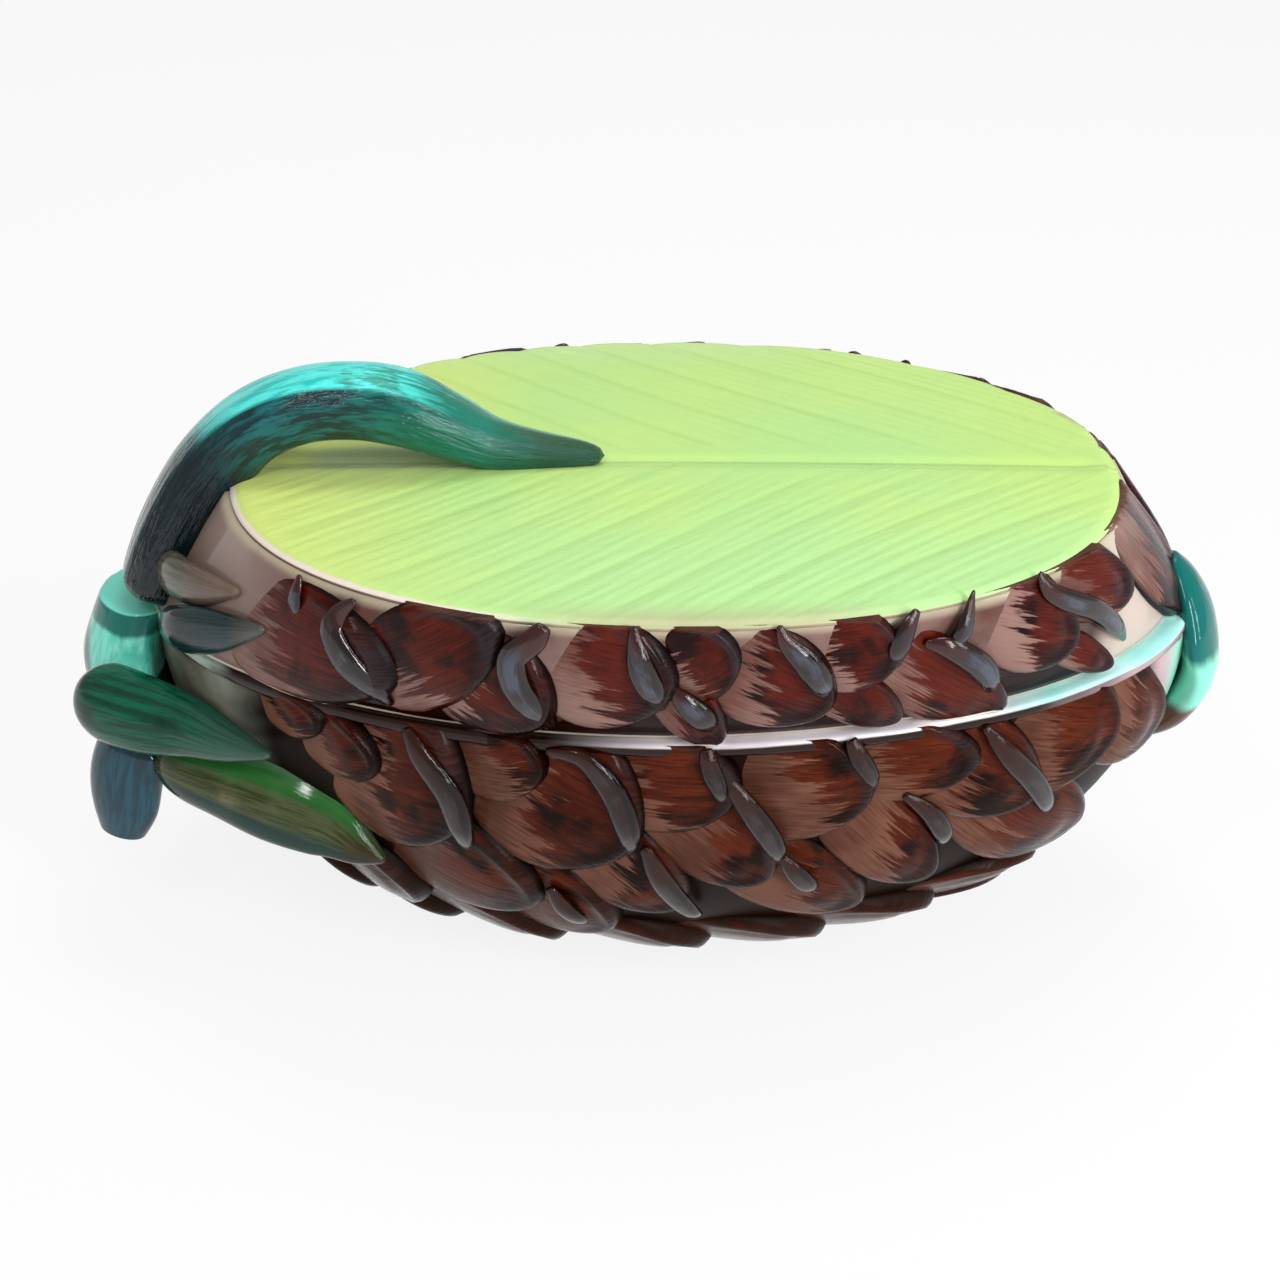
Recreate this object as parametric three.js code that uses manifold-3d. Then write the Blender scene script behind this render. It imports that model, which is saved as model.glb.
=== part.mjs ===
// Covered ceramic dish in the form of a pineapple lying on its side.
// Millimetres, +Z up, the fruit along X: crown leaves at -X, stem leaf at +X.
import * as THREE from "three";
import { mergeVertices } from "three/addons/utils/BufferGeometryUtils.js";
import Module from "manifold-3d";

const wasm = await Module();
wasm.setup();

// Bowl: the lower half of the fruit, whose full curve would end a keel's drop under the table
const rimHeight = 87;
const rimHalfLength = 131;
const rimHalfWidth = 78;
const keelDrop = 9;
const bowlDepth = rimHeight + keelDrop;
const rimFullness = 1.9;
const keelFullness = 2.2;
const floorThickness = 6.5;
const openingShift = -2;

// Ledge that the lid sits on, and the foot under the bowl
const ledgeThickness = 3.2;
const ledgeAtEnds = 10.5;
const ledgeAtSides = 8;
const footHalfLength = 56;
const footHalfWidth = 29;
const footHeight = 4;
const footWidth = 8;
const edgeRound = 0.9;

// Lid: it sits a little towards the crown, so the ledge shows at the stem end
const lidShift = -2.8;
const lidHeight = 34;
const lidInsetAtEnds = 2.5;
const lidInsetAtSides = 3;
const lidFootFullness = 1.9;
const lidEndLean = 19.5;
const lidSideFlare = 9.5;
const lidTopFullness = 2.15;
const lidTopShift = 3.3;
const lidEndBulge = 1.15;
const lidSideBulge = 1.8;
const lidWall = 6;
const flangeDepth = 7;
const flangeGrip = 5;
const flangeThickness = 5.5;
const flangePlay = 1.4;

// Carved leaf that covers the lid
const panelThickness = 5;
const panelEdge = 1.8;
const panelStep = 5;
const panelCrown = 1.2;
const lobePitch = 24;
const lobeDepth = 2.2;
const grooveDepth = 1.1;
const grooveHalfWidth = 4;

// Overlapping scales: size of a plain one, and how far it stands over the fruit and sinks into it
const scaleHalfLength = 15;
const scaleHalfWidth = 15;
const scaleRoot = 0.3;
const scaleTip = 0.14;
const scaleBury = 1.5;
const lipRoll = 1.8;
const bowlScaleRise = 1.6;
const bowlScaleSink = 3.4;
const lidScaleRise = 4.2;
const lidTopScaleRise = 1.8;
const lidScaleSink = 0.6;
const bareCrownEnd = 100;
const bareStemEnd = 150;
const bareFade = 24;

// Handle: an arched leaf that springs from the crown end of the lid
const handleRise = 17;
const handleHalfWidth = 11.8;
const handleHalfThickness = 7.8;

// Leaves: how far those past the bowl's ends spread, and the widest of those on the lid
const leafSpread = 50;
const leafShareOfWidth = 0.641;
const lidLeafHalfWidth = 6;
const lidLeafThickness = 4;

// Free space kept between pieces that touch
const gap = 0.3;

const lidRest = rimHeight + gap;
const lidTop = lidRest + lidHeight;
const lidFootHalfLength = rimHalfLength - lidInsetAtEnds;
const lidFootHalfWidth = rimHalfWidth - lidInsetAtSides;
const lidTopHalfLength = lidFootHalfLength - lidEndLean;
const lidTopHalfWidth = lidFootHalfWidth + lidSideFlare;
const degrees = Math.PI / 180;

// Small helpers

function mix(a, b, t) {
  return a + (b - a) * t;
}

function smooth(from, to, value) {
  const t = THREE.MathUtils.clamp((value - from) / (to - from), 0, 1);
  return t * t * (3 - 2 * t);
}

function toSolid(geometry) {
  geometry.deleteAttribute("normal");
  geometry.deleteAttribute("uv");
  const merged = mergeVertices(geometry, 1e-4);
  return new wasm.Manifold(new wasm.Mesh({
    numProp: 3,
    vertProperties: new Float32Array(merged.attributes.position.array),
    triVerts: new Uint32Array(merged.index.array),
  }));
}

function toGeometry(solid) {
  const mesh = solid.getMesh();
  const geometry = new THREE.BufferGeometry();
  geometry.setAttribute("position", new THREE.BufferAttribute(mesh.vertProperties, 3));
  geometry.setIndex(new THREE.BufferAttribute(mesh.triVerts, 1));
  geometry.computeVertexNormals();
  return geometry;
}

function cuboid(low, high) {
  const size = new THREE.Vector3().subVectors(high, low);
  const geometry = new THREE.BoxGeometry(size.x, size.y, size.z);
  geometry.translate((low.x + high.x) / 2, (low.y + high.y) / 2, (low.z + high.z) / 2);
  return toSolid(geometry);
}

function everythingAbove(z) {
  const reach = 4 * rimHalfLength;
  return cuboid(new THREE.Vector3(-reach, -reach, z), new THREE.Vector3(reach, reach, z + reach));
}

function everythingBelow(z) {
  const reach = 4 * rimHalfLength;
  return cuboid(new THREE.Vector3(-reach, -reach, z - reach), new THREE.Vector3(reach, reach, z));
}

// Closed solid from rings of points: the first and last rings are closed by a fan
function ringSolid(rings) {
  const count = rings[0].length;
  const points = rings.flat();
  const faces = [];
  for (let r = 0; r < rings.length - 1; r++) {
    for (let k = 0; k < count; k++) {
      const a = r * count + k;
      const b = r * count + (k + 1) % count;
      faces.push(a, b, a + count, b, b + count, a + count);
    }
  }
  for (const [ring, flipped] of [[0, true], [rings.length - 1, false]]) {
    const centre = new THREE.Vector3();
    rings[ring].forEach((p) => centre.addScaledVector(p, 1 / count));
    points.push(centre);
    for (let k = 0; k < count; k++) {
      const a = ring * count + k;
      const b = ring * count + (k + 1) % count;
      faces.push(points.length - 1, flipped ? b : a, flipped ? a : b);
    }
  }
  const geometry = new THREE.BufferGeometry().setFromPoints(points);
  geometry.setIndex(faces);
  return toSolid(geometry);
}

// Point on an oval: fullness 2 is an ellipse, less is more pointed
function ovalPoint(turn, oval) {
  const bow = 2 / oval.fullness;
  const c = Math.cos(turn);
  const s = Math.sin(turn);
  return new THREE.Vector2(
    oval.shift + oval.halfLength * Math.sign(c) * Math.abs(c) ** bow,
    oval.halfWidth * Math.sign(s) * Math.abs(s) ** bow,
  );
}

function ovalPoints(oval, steps = 48) {
  return Array.from({ length: steps }, (_, k) => ovalPoint((k / steps) * 2 * Math.PI, oval));
}

function grown(oval, grow) {
  return { ...oval, halfLength: oval.halfLength + grow, halfWidth: oval.halfWidth + grow };
}

function ovalPrism(oval, low, high) {
  const shape = new THREE.Shape(ovalPoints(oval));
  const geometry = new THREE.ExtrudeGeometry(shape, { depth: high - low, bevelEnabled: false });
  geometry.translate(0, 0, low);
  return toSolid(geometry);
}

// Oval ring with its edges broken, from height low to height high
function ovalRing(outer, inner, low, high) {
  const shape = new THREE.Shape(ovalPoints(grown(outer, -edgeRound)));
  shape.holes.push(new THREE.Path(ovalPoints(grown(inner, edgeRound))));
  const geometry = new THREE.ExtrudeGeometry(shape, {
    depth: high - low - 2 * edgeRound,
    bevelEnabled: true,
    bevelSize: edgeRound,
    bevelThickness: edgeRound,
    bevelSegments: 1,
  });
  geometry.translate(0, 0, low + edgeRound);
  return toSolid(geometry);
}

// Fruit: length along its side from its middle, and length round its girth from the front rim

const girthRadius = (rimHalfWidth + bowlDepth) / 2;
const arcTable = [0];
for (let step = 1; step <= 90; step++) {
  const t = (step - 0.5) * degrees;
  const slope = Math.hypot(rimHalfLength * Math.cos(t), girthRadius * Math.sin(t));
  arcTable.push(arcTable[step - 1] + slope * degrees);
}

// Length along the fruit's side from its middle, at an angle along its axis
function sideLength(along) {
  const angle = THREE.MathUtils.clamp(Math.abs(along) / degrees, 0, 89.999);
  const step = Math.floor(angle);
  return Math.sign(along) * mix(arcTable[step], arcTable[step + 1], angle - step);
}

function sideAngle(length) {
  const far = Math.min(Math.abs(length), arcTable[90] - 0.01);
  const step = arcTable.findIndex((reach) => reach > far) - 1;
  const share = (far - arcTable[step]) / (arcTable[step + 1] - arcTable[step]);
  return Math.sign(length) * (step + share) * degrees;
}

// The scales die out towards both ends of the fruit
function scaleShare(length) {
  const crownEnd = smooth(-bareCrownEnd - bareFade, -bareCrownEnd, length);
  return crownEnd * (1 - smooth(bareStemEnd - bareFade, bareStemEnd, length));
}

// Share of a full width left at a reach from -1 to 1 along an oval
function taper(reach, fullness) {
  return (1 - Math.abs(reach) ** fullness) ** (1 / fullness);
}

// Bare bowl: an angle along the fruit, and an angle round it from the front rim downwards
function bareBowl(along, round) {
  const reach = Math.sin(along);
  return new THREE.Vector3(
    reach * rimHalfLength,
    -rimHalfWidth * taper(reach, rimFullness) * Math.cos(round),
    rimHeight - bowlDepth * taper(reach, keelFullness) * Math.sin(round),
  );
}

function onBowl(along, round, lift = 0) {
  const nudge = degrees / 4;
  const ahead = bareBowl(along + nudge, round).sub(bareBowl(along - nudge, round));
  const down = bareBowl(along, round + nudge).sub(bareBowl(along, round - nudge));
  const out = down.cross(ahead).normalize();
  return bareBowl(along, round).addScaledVector(out, lift);
}

// Scales of one side, as they were laid: middle in degrees along the fruit and down from the rim,
// shares of a plain scale's length and width, and the tip's tilt downwards in degrees
const bowlScales = [
  { along: -44, down: 5, long: 0.7, wide: 0.6, tilt: -15 },
  { along: -37, down: 9, long: 0.7, wide: 0.8, tilt: -4 },
  { along: -29, down: 13, long: 1, wide: 1.8, tilt: 15 },
  { along: -18, down: 5, long: 0.7, wide: 0.8, tilt: -3 },
  { along: -11, down: 13, long: 1.1, wide: 1.5, tilt: 32 },
  { along: 0, down: 7, long: 0.9, wide: 1, tilt: 5 },
  { along: -22, down: 32, long: 1.1, wide: 1.3, tilt: 15 },
  { along: -4, down: 27, long: 0.9, wide: 0.9, tilt: 44 },
  { along: 14, down: 9, long: 0.9, wide: 1.1, tilt: 7 },
  { along: 5, down: 19, long: 1, wide: 0.9, tilt: 46 },
  { along: 26, down: 7, long: 0.9, wide: 0.8, tilt: 7 },
  { along: 34, down: 13, long: 1.3, wide: 1, tilt: 44 },
  { along: 46, down: 13, long: 1.1, wide: 1.5, tilt: 34 },
  { along: 23, down: 24, long: 1.3, wide: 0.8, tilt: 55 },
  { along: 14, down: 31, long: 1.1, wide: 0.9, tilt: 38 },
  { along: 42, down: 33, long: 2, wide: 1.1, tilt: 60 },
  { along: -12, down: 38, long: 0.9, wide: 1.1, tilt: 20 },
  { along: -35, down: 47, long: 0.9, wide: 1.5, tilt: -2 },
  { along: 58, down: 18, long: 2.3, wide: 1.1, tilt: 65 },
];

// Rows under those, out of sight: degrees down, and degrees along of each scale
const underRows = [
  { down: 54, alongs: [-20, -4, 9, 22, 36] },
  { down: 68, alongs: [-44, -33, 33, 45] },
];
const underScales = underRows.flatMap(({ down, alongs }) => (
  alongs.map((along) => ({ along, down, long: 1.1, wide: 1.1, tilt: 0 }))
));

const lidScales = [
  { along: -42, rise: 0.41, long: 1.5, wide: 1.1, tilt: 7 },
  { along: -26, rise: 0.62, long: 1.1, wide: 1.1, tilt: -27 },
  { along: -18, rise: 0.38, long: 0.9, wide: 1, tilt: 35 },
  { along: -6, rise: 0.56, long: 0.9, wide: 1.1, tilt: 16 },
  { along: 3, rise: 0.71, long: 0.5, wide: 0.8, tilt: -18 },
  { along: 3, rise: 0.24, long: 0.7, wide: 0.5, tilt: 49 },
  { along: 11, rise: 0.5, long: 1, wide: 0.9, tilt: 31 },
  { along: 20, rise: 0.71, long: 0.6, wide: 0.8, tilt: 2 },
  { along: 21, rise: 0.26, long: 0.7, wide: 0.5, tilt: 31 },
  { along: 31, rise: 0.29, long: 1.2, wide: 0.8, tilt: 41 },
  { along: 44, rise: 0.62, long: 0.8, wide: 1, tilt: 29 },
  { along: 51, rise: 0.24, long: 0.6, wide: 0.4, tilt: 37 },
  { along: 57, rise: 0.76, long: 0.9, wide: 0.8, tilt: 21 },
  { along: 78, rise: 0.56, long: 1.3, wide: 1.1, tilt: 72 },
];

// Rings of one scale: a dome that climbs to its tip, with a rolled lip on the tip's upper side
// and an edge that runs under the clay. Turns are in radians from the tip, positive downwards.
const plainScale = {
  sides: 10,
  domeReach: 0.5,
  lipReach: 0.84,
  lipTurn: -0.75,
  lipWidth: 0.85,
  tipWidth: 0.55,
  tipStart: 0.75,
  edgePower: 6,
  domePower: 0.4,
};

function scaleLobe({ along, down, long, wide, tilt }, place, grow) {
  const { sides, domeReach, lipReach, lipTurn, lipWidth, tipWidth } = plainScale;
  const { tipStart, edgePower, domePower } = plainScale;
  const lean = tilt * degrees;
  const root = scaleRoot * long * scaleHalfLength;
  const halfLength = long * scaleHalfLength + root + grow;
  const halfWidth = wide * scaleHalfWidth + grow;
  return [domeReach, lipReach, 1].map((reach) => Array.from({ length: sides }, (_, k) => {
    const turn = (k / sides - 0.5) * 2 * Math.PI;
    const spread = reach * (1 + scaleTip * Math.exp(-((turn / tipWidth) ** 2)));
    const ahead = Math.cos(turn) * spread * halfLength - root;
    const across = Math.sin(turn) * spread * halfWidth;
    const climb = smooth(-1, tipStart, Math.cos(turn) * spread);
    const dome = climb * (1 - reach ** edgePower) ** domePower;
    const roll = reach === lipReach ? lipRoll * Math.exp(-(((turn - lipTurn) / lipWidth) ** 2)) : 0;
    return place(
      sideLength(along * degrees) + ahead * Math.cos(lean) - across * Math.sin(lean),
      down * degrees * girthRadius + ahead * Math.sin(lean) + across * Math.cos(lean),
      dome,
      grow + roll - (reach === 1 ? scaleBury : 0),
    );
  }));
}

// The scales of both sides as solids, the back a mirror image of the front
function scaleSolids(scales, place, grow) {
  return wasm.Manifold.union(scales.flatMap((scale) => {
    const front = scaleLobe(scale, place, grow);
    const back = front.map((ring) => ring.map((p) => new THREE.Vector3(p.x, -p.y, p.z)).reverse());
    return [ringSolid(front), ringSolid(back)];
  }));
}

function placeOnBowl(length, girth, dome, extra) {
  const lift = mix(-bowlScaleSink, bowlScaleRise, dome) + extra;
  return onBowl(sideAngle(length), girth / girthRadius, lift);
}

// Half of the smooth fruit as a closed solid, with its flat side at the rim
function halfFruit(grow) {
  const columns = 32;
  const rows = 16;
  const points = [];
  const faces = [];
  for (let c = 1; c < columns; c++) {
    const along = (c / columns - 0.5) * Math.PI;
    const lift = grow - bowlScaleSink * scaleShare(sideLength(along));
    for (let r = 0; r <= rows; r++) {
      points.push(onBowl(along, (r / rows) * Math.PI, lift));
    }
  }
  const stride = rows + 1;
  for (let c = 0; c < columns - 2; c++) {
    for (let r = 0; r < rows; r++) {
      const a = c * stride + r;
      faces.push(a, a + 1, a + stride, a + 1, a + stride + 1, a + stride);
    }
    faces.push(c * stride + rows, c * stride, (c + 1) * stride + rows);
    faces.push(c * stride, (c + 1) * stride, (c + 1) * stride + rows);
  }
  for (const [column, side] of [[0, -1], [columns - 2, 1]]) {
    points.push(new THREE.Vector3(side * (rimHalfLength + grow), 0, rimHeight));
    for (let r = 0; r <= rows; r++) {
      const a = column * stride + r;
      const b = column * stride + (r < rows ? r + 1 : 0);
      faces.push(points.length - 1, side < 0 ? b : a, side < 0 ? a : b);
    }
  }
  const geometry = new THREE.BufferGeometry().setFromPoints(points);
  geometry.setIndex(faces);
  return toSolid(geometry).add(scaleSolids([...bowlScales, ...underScales], placeOnBowl, grow));
}

// Hollow of the bowl, drawn down from the opening
function bowlHollow() {
  const depth = rimHeight - footHeight - gap - floorThickness;
  const rings = [];
  const slices = 22;
  const sides = 36;
  for (let c = 1; c < slices; c++) {
    const reach = Math.sin((c / slices - 0.5) * Math.PI);
    const ring = [];
    for (let k = 0; k < sides; k++) {
      const round = (k / sides) * 2 * Math.PI;
      ring.push(new THREE.Vector3(
        opening.shift + opening.halfLength * reach,
        opening.halfWidth * taper(reach, rimFullness) * Math.cos(round),
        rimHeight + depth * taper(reach, keelFullness) * Math.sin(round),
      ));
    }
    rings.push(ring);
  }
  return ringSolid(rings);
}

function baseBowl() {
  return halfFruit(0)
    .subtract(bowlHollow())
    .subtract(everythingAbove(rimHeight - ledgeThickness - gap))
    .subtract(everythingBelow(footHeight + gap));
}

const rimOval = {
  shift: 0,
  halfLength: rimHalfLength,
  halfWidth: rimHalfWidth,
  fullness: rimFullness,
};
const opening = {
  shift: openingShift,
  halfLength: rimHalfLength - ledgeAtEnds,
  halfWidth: rimHalfWidth - ledgeAtSides,
  fullness: rimFullness,
};
const foot = { shift: 0, halfLength: footHalfLength, halfWidth: footHalfWidth, fullness: 2 };

function galleryRim() {
  return ovalRing(rimOval, opening, rimHeight - ledgeThickness, rimHeight);
}

function footRing() {
  return ovalRing(foot, grown(foot, -footWidth), 0, footHeight);
}

// Everything of the base that a leaf must keep clear of
function baseBlock() {
  const low = rimHeight - ledgeThickness - gap;
  return halfFruit(gap).add(ovalPrism(grown(rimOval, gap), low, rimHeight + gap));
}

// Lid wall: an oval that leans in at the ends and out at the sides as it rises

function lidOval(rise) {
  const level = THREE.MathUtils.clamp(rise, 0, 1);
  return {
    shift: lidShift + lidTopShift * level,
    halfLength: mix(lidFootHalfLength, lidTopHalfLength, level ** lidEndBulge),
    halfWidth: mix(lidFootHalfWidth, lidTopHalfWidth, 1 - (1 - level) ** lidSideBulge),
    fullness: mix(lidFootFullness, lidTopFullness, level),
  };
}

// Point on the lid wall: an angle round the oval from the stem end, a rise from 0 to 1, a lift
function onLid(turn, rise, lift = 0) {
  const oval = lidOval(rise);
  const flat = ovalPoint(turn, oval);
  const x = Math.cos(turn) / oval.halfLength;
  const y = Math.sin(turn) / oval.halfWidth;
  const out = new THREE.Vector3(x, y, 0).normalize();
  return new THREE.Vector3(flat.x, flat.y, lidRest + lidHeight * rise).addScaledVector(out, lift);
}

function placeOnLid(length, girth, dome, extra) {
  const rise = -girth / lidHeight;
  const top = mix(lidScaleRise, lidTopScaleRise, THREE.MathUtils.clamp(rise, 0, 1) ** 2);
  return onLid(sideAngle(length) - Math.PI / 2, rise, mix(-lidScaleSink, top, dome) + extra);
}

function lidBlock(grow) {
  const rings = [];
  const levels = 4;
  const steps = 60;
  for (let level = 0; level <= levels; level++) {
    const rise = level / levels;
    const ring = [];
    for (let k = 0; k < steps; k++) {
      const point = onLid((k / steps) * 2 * Math.PI, rise, grow);
      if (level === levels) point.z += grow;
      ring.push(point);
    }
    rings.push(ring);
  }
  const scales = lidScales.map(({ rise, ...scale }) => (
    { ...scale, down: -rise * lidHeight / (girthRadius * degrees) }
  ));
  return ringSolid(rings).add(scaleSolids(scales, placeOnLid, grow));
}

// Leaf panel: a plug in the wall and a lobed edge over it, with a low crown and a midrib groove
function leafPanel() {
  const oval = { ...lidOval(1), shift: 0 };
  const steps = 96;
  const rounds = 3;
  const outline = [];
  let length = 0;
  for (let k = 0; k < steps; k++) {
    const turn = (k / steps) * 2 * Math.PI;
    const stride = Math.hypot(oval.halfLength * Math.sin(turn), oval.halfWidth * Math.cos(turn));
    length += stride * 2 * Math.PI / steps;
    const lobe = Math.sqrt(Math.abs(Math.sin(Math.PI * length / lobePitch)));
    outline.push(ovalPoint(turn, grown(oval, -lobeDepth * (1 - lobe))));
  }
  const raise = (points, height) => points.map((p) => (
    new THREE.Vector3(p.x + lidShift + lidTopShift, p.y, height(p))
  ));
  const plug = ovalPoints(grown(oval, -panelStep), steps);
  const rings = [
    raise(plug, () => lidTop - panelThickness),
    raise(plug, () => lidTop - panelEdge),
    raise(outline, () => lidTop - panelEdge),
  ];
  for (let r = 0; r < rounds; r++) {
    const share = 1 - r / rounds;
    const inner = outline.map((p) => p.clone().multiplyScalar(share));
    rings.push(raise(inner, (p) => {
      const groove = grooveDepth * Math.exp(-((p.y / grooveHalfWidth) ** 2)) * (1 - share ** 4);
      return lidTop + panelCrown * (1 - share * share) - groove;
    }));
  }
  return ringSolid(rings);
}

// Space that the panel takes in the lid, from the underside of its plug up
function panelSpace() {
  const plug = grown(lidOval(1), gap - panelStep);
  const low = lidTop - panelThickness - gap;
  return ovalPrism(plug, low, lidTop).add(everythingAbove(lidTop - panelEdge - gap));
}

function lidHollow() {
  const shaft = ovalPrism(flangeOval(gap), lidRest - gap, lidRest + flangeGrip + gap);
  const ceiling = lidTop - panelThickness - gap;
  const rings = [];
  const levels = 3;
  for (let level = 0; level <= levels; level++) {
    const z = mix(lidRest + flangeGrip, ceiling, level / levels);
    const inner = grown(lidOval((z - lidRest) / lidHeight), -lidWall - lidWall * level / levels);
    rings.push(ovalPoints(inner).map((p) => new THREE.Vector3(p.x, p.y, z)));
  }
  return shaft.add(ringSolid(rings));
}

function lidWallRing() {
  return lidBlock(0)
    .subtract(lidHollow())
    .subtract(panelSpace())
    .subtract(everythingBelow(lidRest));
}

// Flange under the lid that drops into the bowl's opening
function flangeOval(grow = 0) {
  return grown(opening, grow - flangePlay);
}

function lidFlange() {
  const inner = flangeOval(-flangeThickness);
  return ovalRing(flangeOval(), inner, lidRest - flangeDepth, lidRest + flangeGrip);
}

// Leaf blade: a lens-shaped section carried along a spine and turned by a spread direction

function blade(stations, { sides = 8, rings = 9, boxiness = 2, groove = 0, cup = 0, grow = 0 } = {}) {
  const spine = new THREE.CatmullRomCurve3(stations.map((s) => s.at), false, "centripetal");
  const spread = new THREE.CatmullRomCurve3(stations.map((s) => s.spread), false, "catmullrom");
  const size = new THREE.CatmullRomCurve3(
    stations.map((s) => new THREE.Vector3(s.half, s.thick, 0)), false, "catmullrom");
  const loops = [];
  for (let r = 0; r <= rings; r++) {
    const t = r / rings;
    const centre = spine.getPoint(t);
    const tangent = spine.getTangent(t);
    const side = spread.getPoint(t).projectOnPlane(tangent).normalize();
    const up = new THREE.Vector3().crossVectors(tangent, side).normalize();
    const { x: half, y: thick } = size.getPoint(t);
    const loop = [];
    for (let k = 0; k < sides; k++) {
      const angle = (k / sides) * 2 * Math.PI;
      const c = Math.cos(angle);
      const s = Math.sin(angle);
      const flat = Math.sign(c) * Math.abs(c) ** (2 / boxiness);
      const tall = Math.sign(s) * Math.abs(s) ** (2 / boxiness);
      const crease = s > 0 ? groove * thick * Math.exp(-((2.5 * flat) ** 2)) : 0;
      loop.push(centre.clone()
        .addScaledVector(side, flat * (half + grow))
        .addScaledVector(up, tall * (thick + grow) - crease - cup * (flat * half) ** 2));
    }
    loops.push(loop);
  }
  return ringSolid(loops);
}

// Station of a leaf past an end of the bowl, -1 at the crown and 1 at the stem, all in shares
function pastEnd(side, { out, across, up, half, thick, spread }) {
  return {
    at: new THREE.Vector3(
      side * (rimHalfLength + leafSpread * out),
      rimHalfWidth * leafShareOfWidth * across,
      rimHeight + leafSpread * up,
    ),
    spread: towards(...spread),
    half: leafSpread * half,
    thick: leafSpread * thick,
  };
}

function towards(x, y, z) {
  return new THREE.Vector3(x, y, z);
}

function mirrored(stations) {
  return stations.map((s) => ({
    ...s,
    at: s.at.clone().multiply(towards(1, -1, 1)),
    spread: s.spread.clone().multiply(towards(-1, 1, -1)),
  }));
}

const upperLeaf = [
  { out: 0.3, across: -0.4, up: -0.34, half: 0.12, thick: 0.1, spread: [0.1, 0.1, 1] },
  { out: 0.2, across: -0.52, up: -0.37, half: 0.2, thick: 0.15, spread: [0.1, 0.2, 1] },
  { out: 0, across: -0.64, up: -0.38, half: 0.2, thick: 0.15, spread: [0.1, 0.3, 1] },
  { out: -0.24, across: -0.74, up: -0.39, half: 0.16, thick: 0.11, spread: [0.1, 0.3, 1] },
  { out: -0.47, across: -0.88, up: -0.4, half: 0.1, thick: 0.08, spread: [0.1, 0.3, 1] },
  { out: -0.7, across: -1.04, up: -0.38, half: 0.016, thick: 0.024, spread: [0.1, 0.3, 1] },
].map((share) => pastEnd(-1, share));

const lowerLeaf = [
  { out: -0.04, across: -0.52, up: -0.7, half: 0.16, thick: 0.12, spread: [0, 0.5, 1] },
  { out: -0.35, across: -0.72, up: -0.7, half: 0.18, thick: 0.12, spread: [0, 0.5, 1] },
  { out: -0.65, across: -0.88, up: -0.72, half: 0.21, thick: 0.1, spread: [0, 0.5, 1] },
  { out: -0.94, across: -1, up: -0.78, half: 0.18, thick: 0.08, spread: [0, 0.5, 1] },
  { out: -1.1, across: -1.07, up: -0.87, half: 0.1, thick: 0.06, spread: [0, 0.5, 1] },
  { out: -1.23, across: -1.11, up: -0.93, half: 0.016, thick: 0.032, spread: [0, 0.5, 1] },
].map((share) => pastEnd(-1, share));

const hangingLeaf = [
  { out: 0.06, across: -0.44, up: -0.6, half: 0.2, thick: 0.14, spread: [1, -0.3, 0.2] },
  { out: 0.14, across: -0.48, up: -0.8, half: 0.2, thick: 0.13, spread: [1, -0.3, 0.2] },
  { out: 0.17, across: -0.5, up: -1, half: 0.18, thick: 0.11, spread: [1, -0.3, 0.3] },
  { out: 0.2, across: -0.5, up: -1.16, half: 0.12, thick: 0.08, spread: [1, -0.3, 0.4] },
].map((share) => pastEnd(-1, share));

// Broad leaf behind the others that carries the crown up to the seam
const endLeaf = [
  { out: -0.04, across: 0, up: -0.88, half: 0.18, thick: 0.14, spread: [0, 1, 0] },
  { out: 0.1, across: 0, up: -0.64, half: 0.34, thick: 0.2, spread: [0, 1, 0] },
  { out: 0.19, across: 0, up: -0.4, half: 0.42, thick: 0.22, spread: [0, 1, 0] },
  { out: 0.15, across: 0, up: -0.18, half: 0.38, thick: 0.2, spread: [0, 1, 0] },
  { out: 0.06, across: 0, up: 0.04, half: 0.3, thick: 0.18, spread: [0, 1, 0] },
  { out: -0.02, across: 0, up: 0.2, half: 0.2, thick: 0.16, spread: [0, 1, 0] },
].map((share) => pastEnd(-1, share));

const stemEndLeaf = [
  { out: -0.2, across: -0.16, up: -0.76, half: 0.06, thick: 0.06, spread: [0, -1, -0.1] },
  { out: -0.04, across: -0.14, up: -0.56, half: 0.22, thick: 0.09, spread: [0, -1, -0.1] },
  { out: 0.05, across: -0.12, up: -0.32, half: 0.32, thick: 0.1, spread: [0, -1, -0.1] },
  { out: 0.02, across: -0.1, up: -0.08, half: 0.32, thick: 0.1, spread: [0, -1, -0.1] },
  { out: -0.05, across: -0.1, up: 0.1, half: 0.22, thick: 0.076, spread: [0, -1, -0.1] },
  { out: -0.14, across: -0.1, up: 0.24, half: 0.05, thick: 0.036, spread: [0, -1, -0.1] },
].map((share) => pastEnd(1, share));

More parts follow.
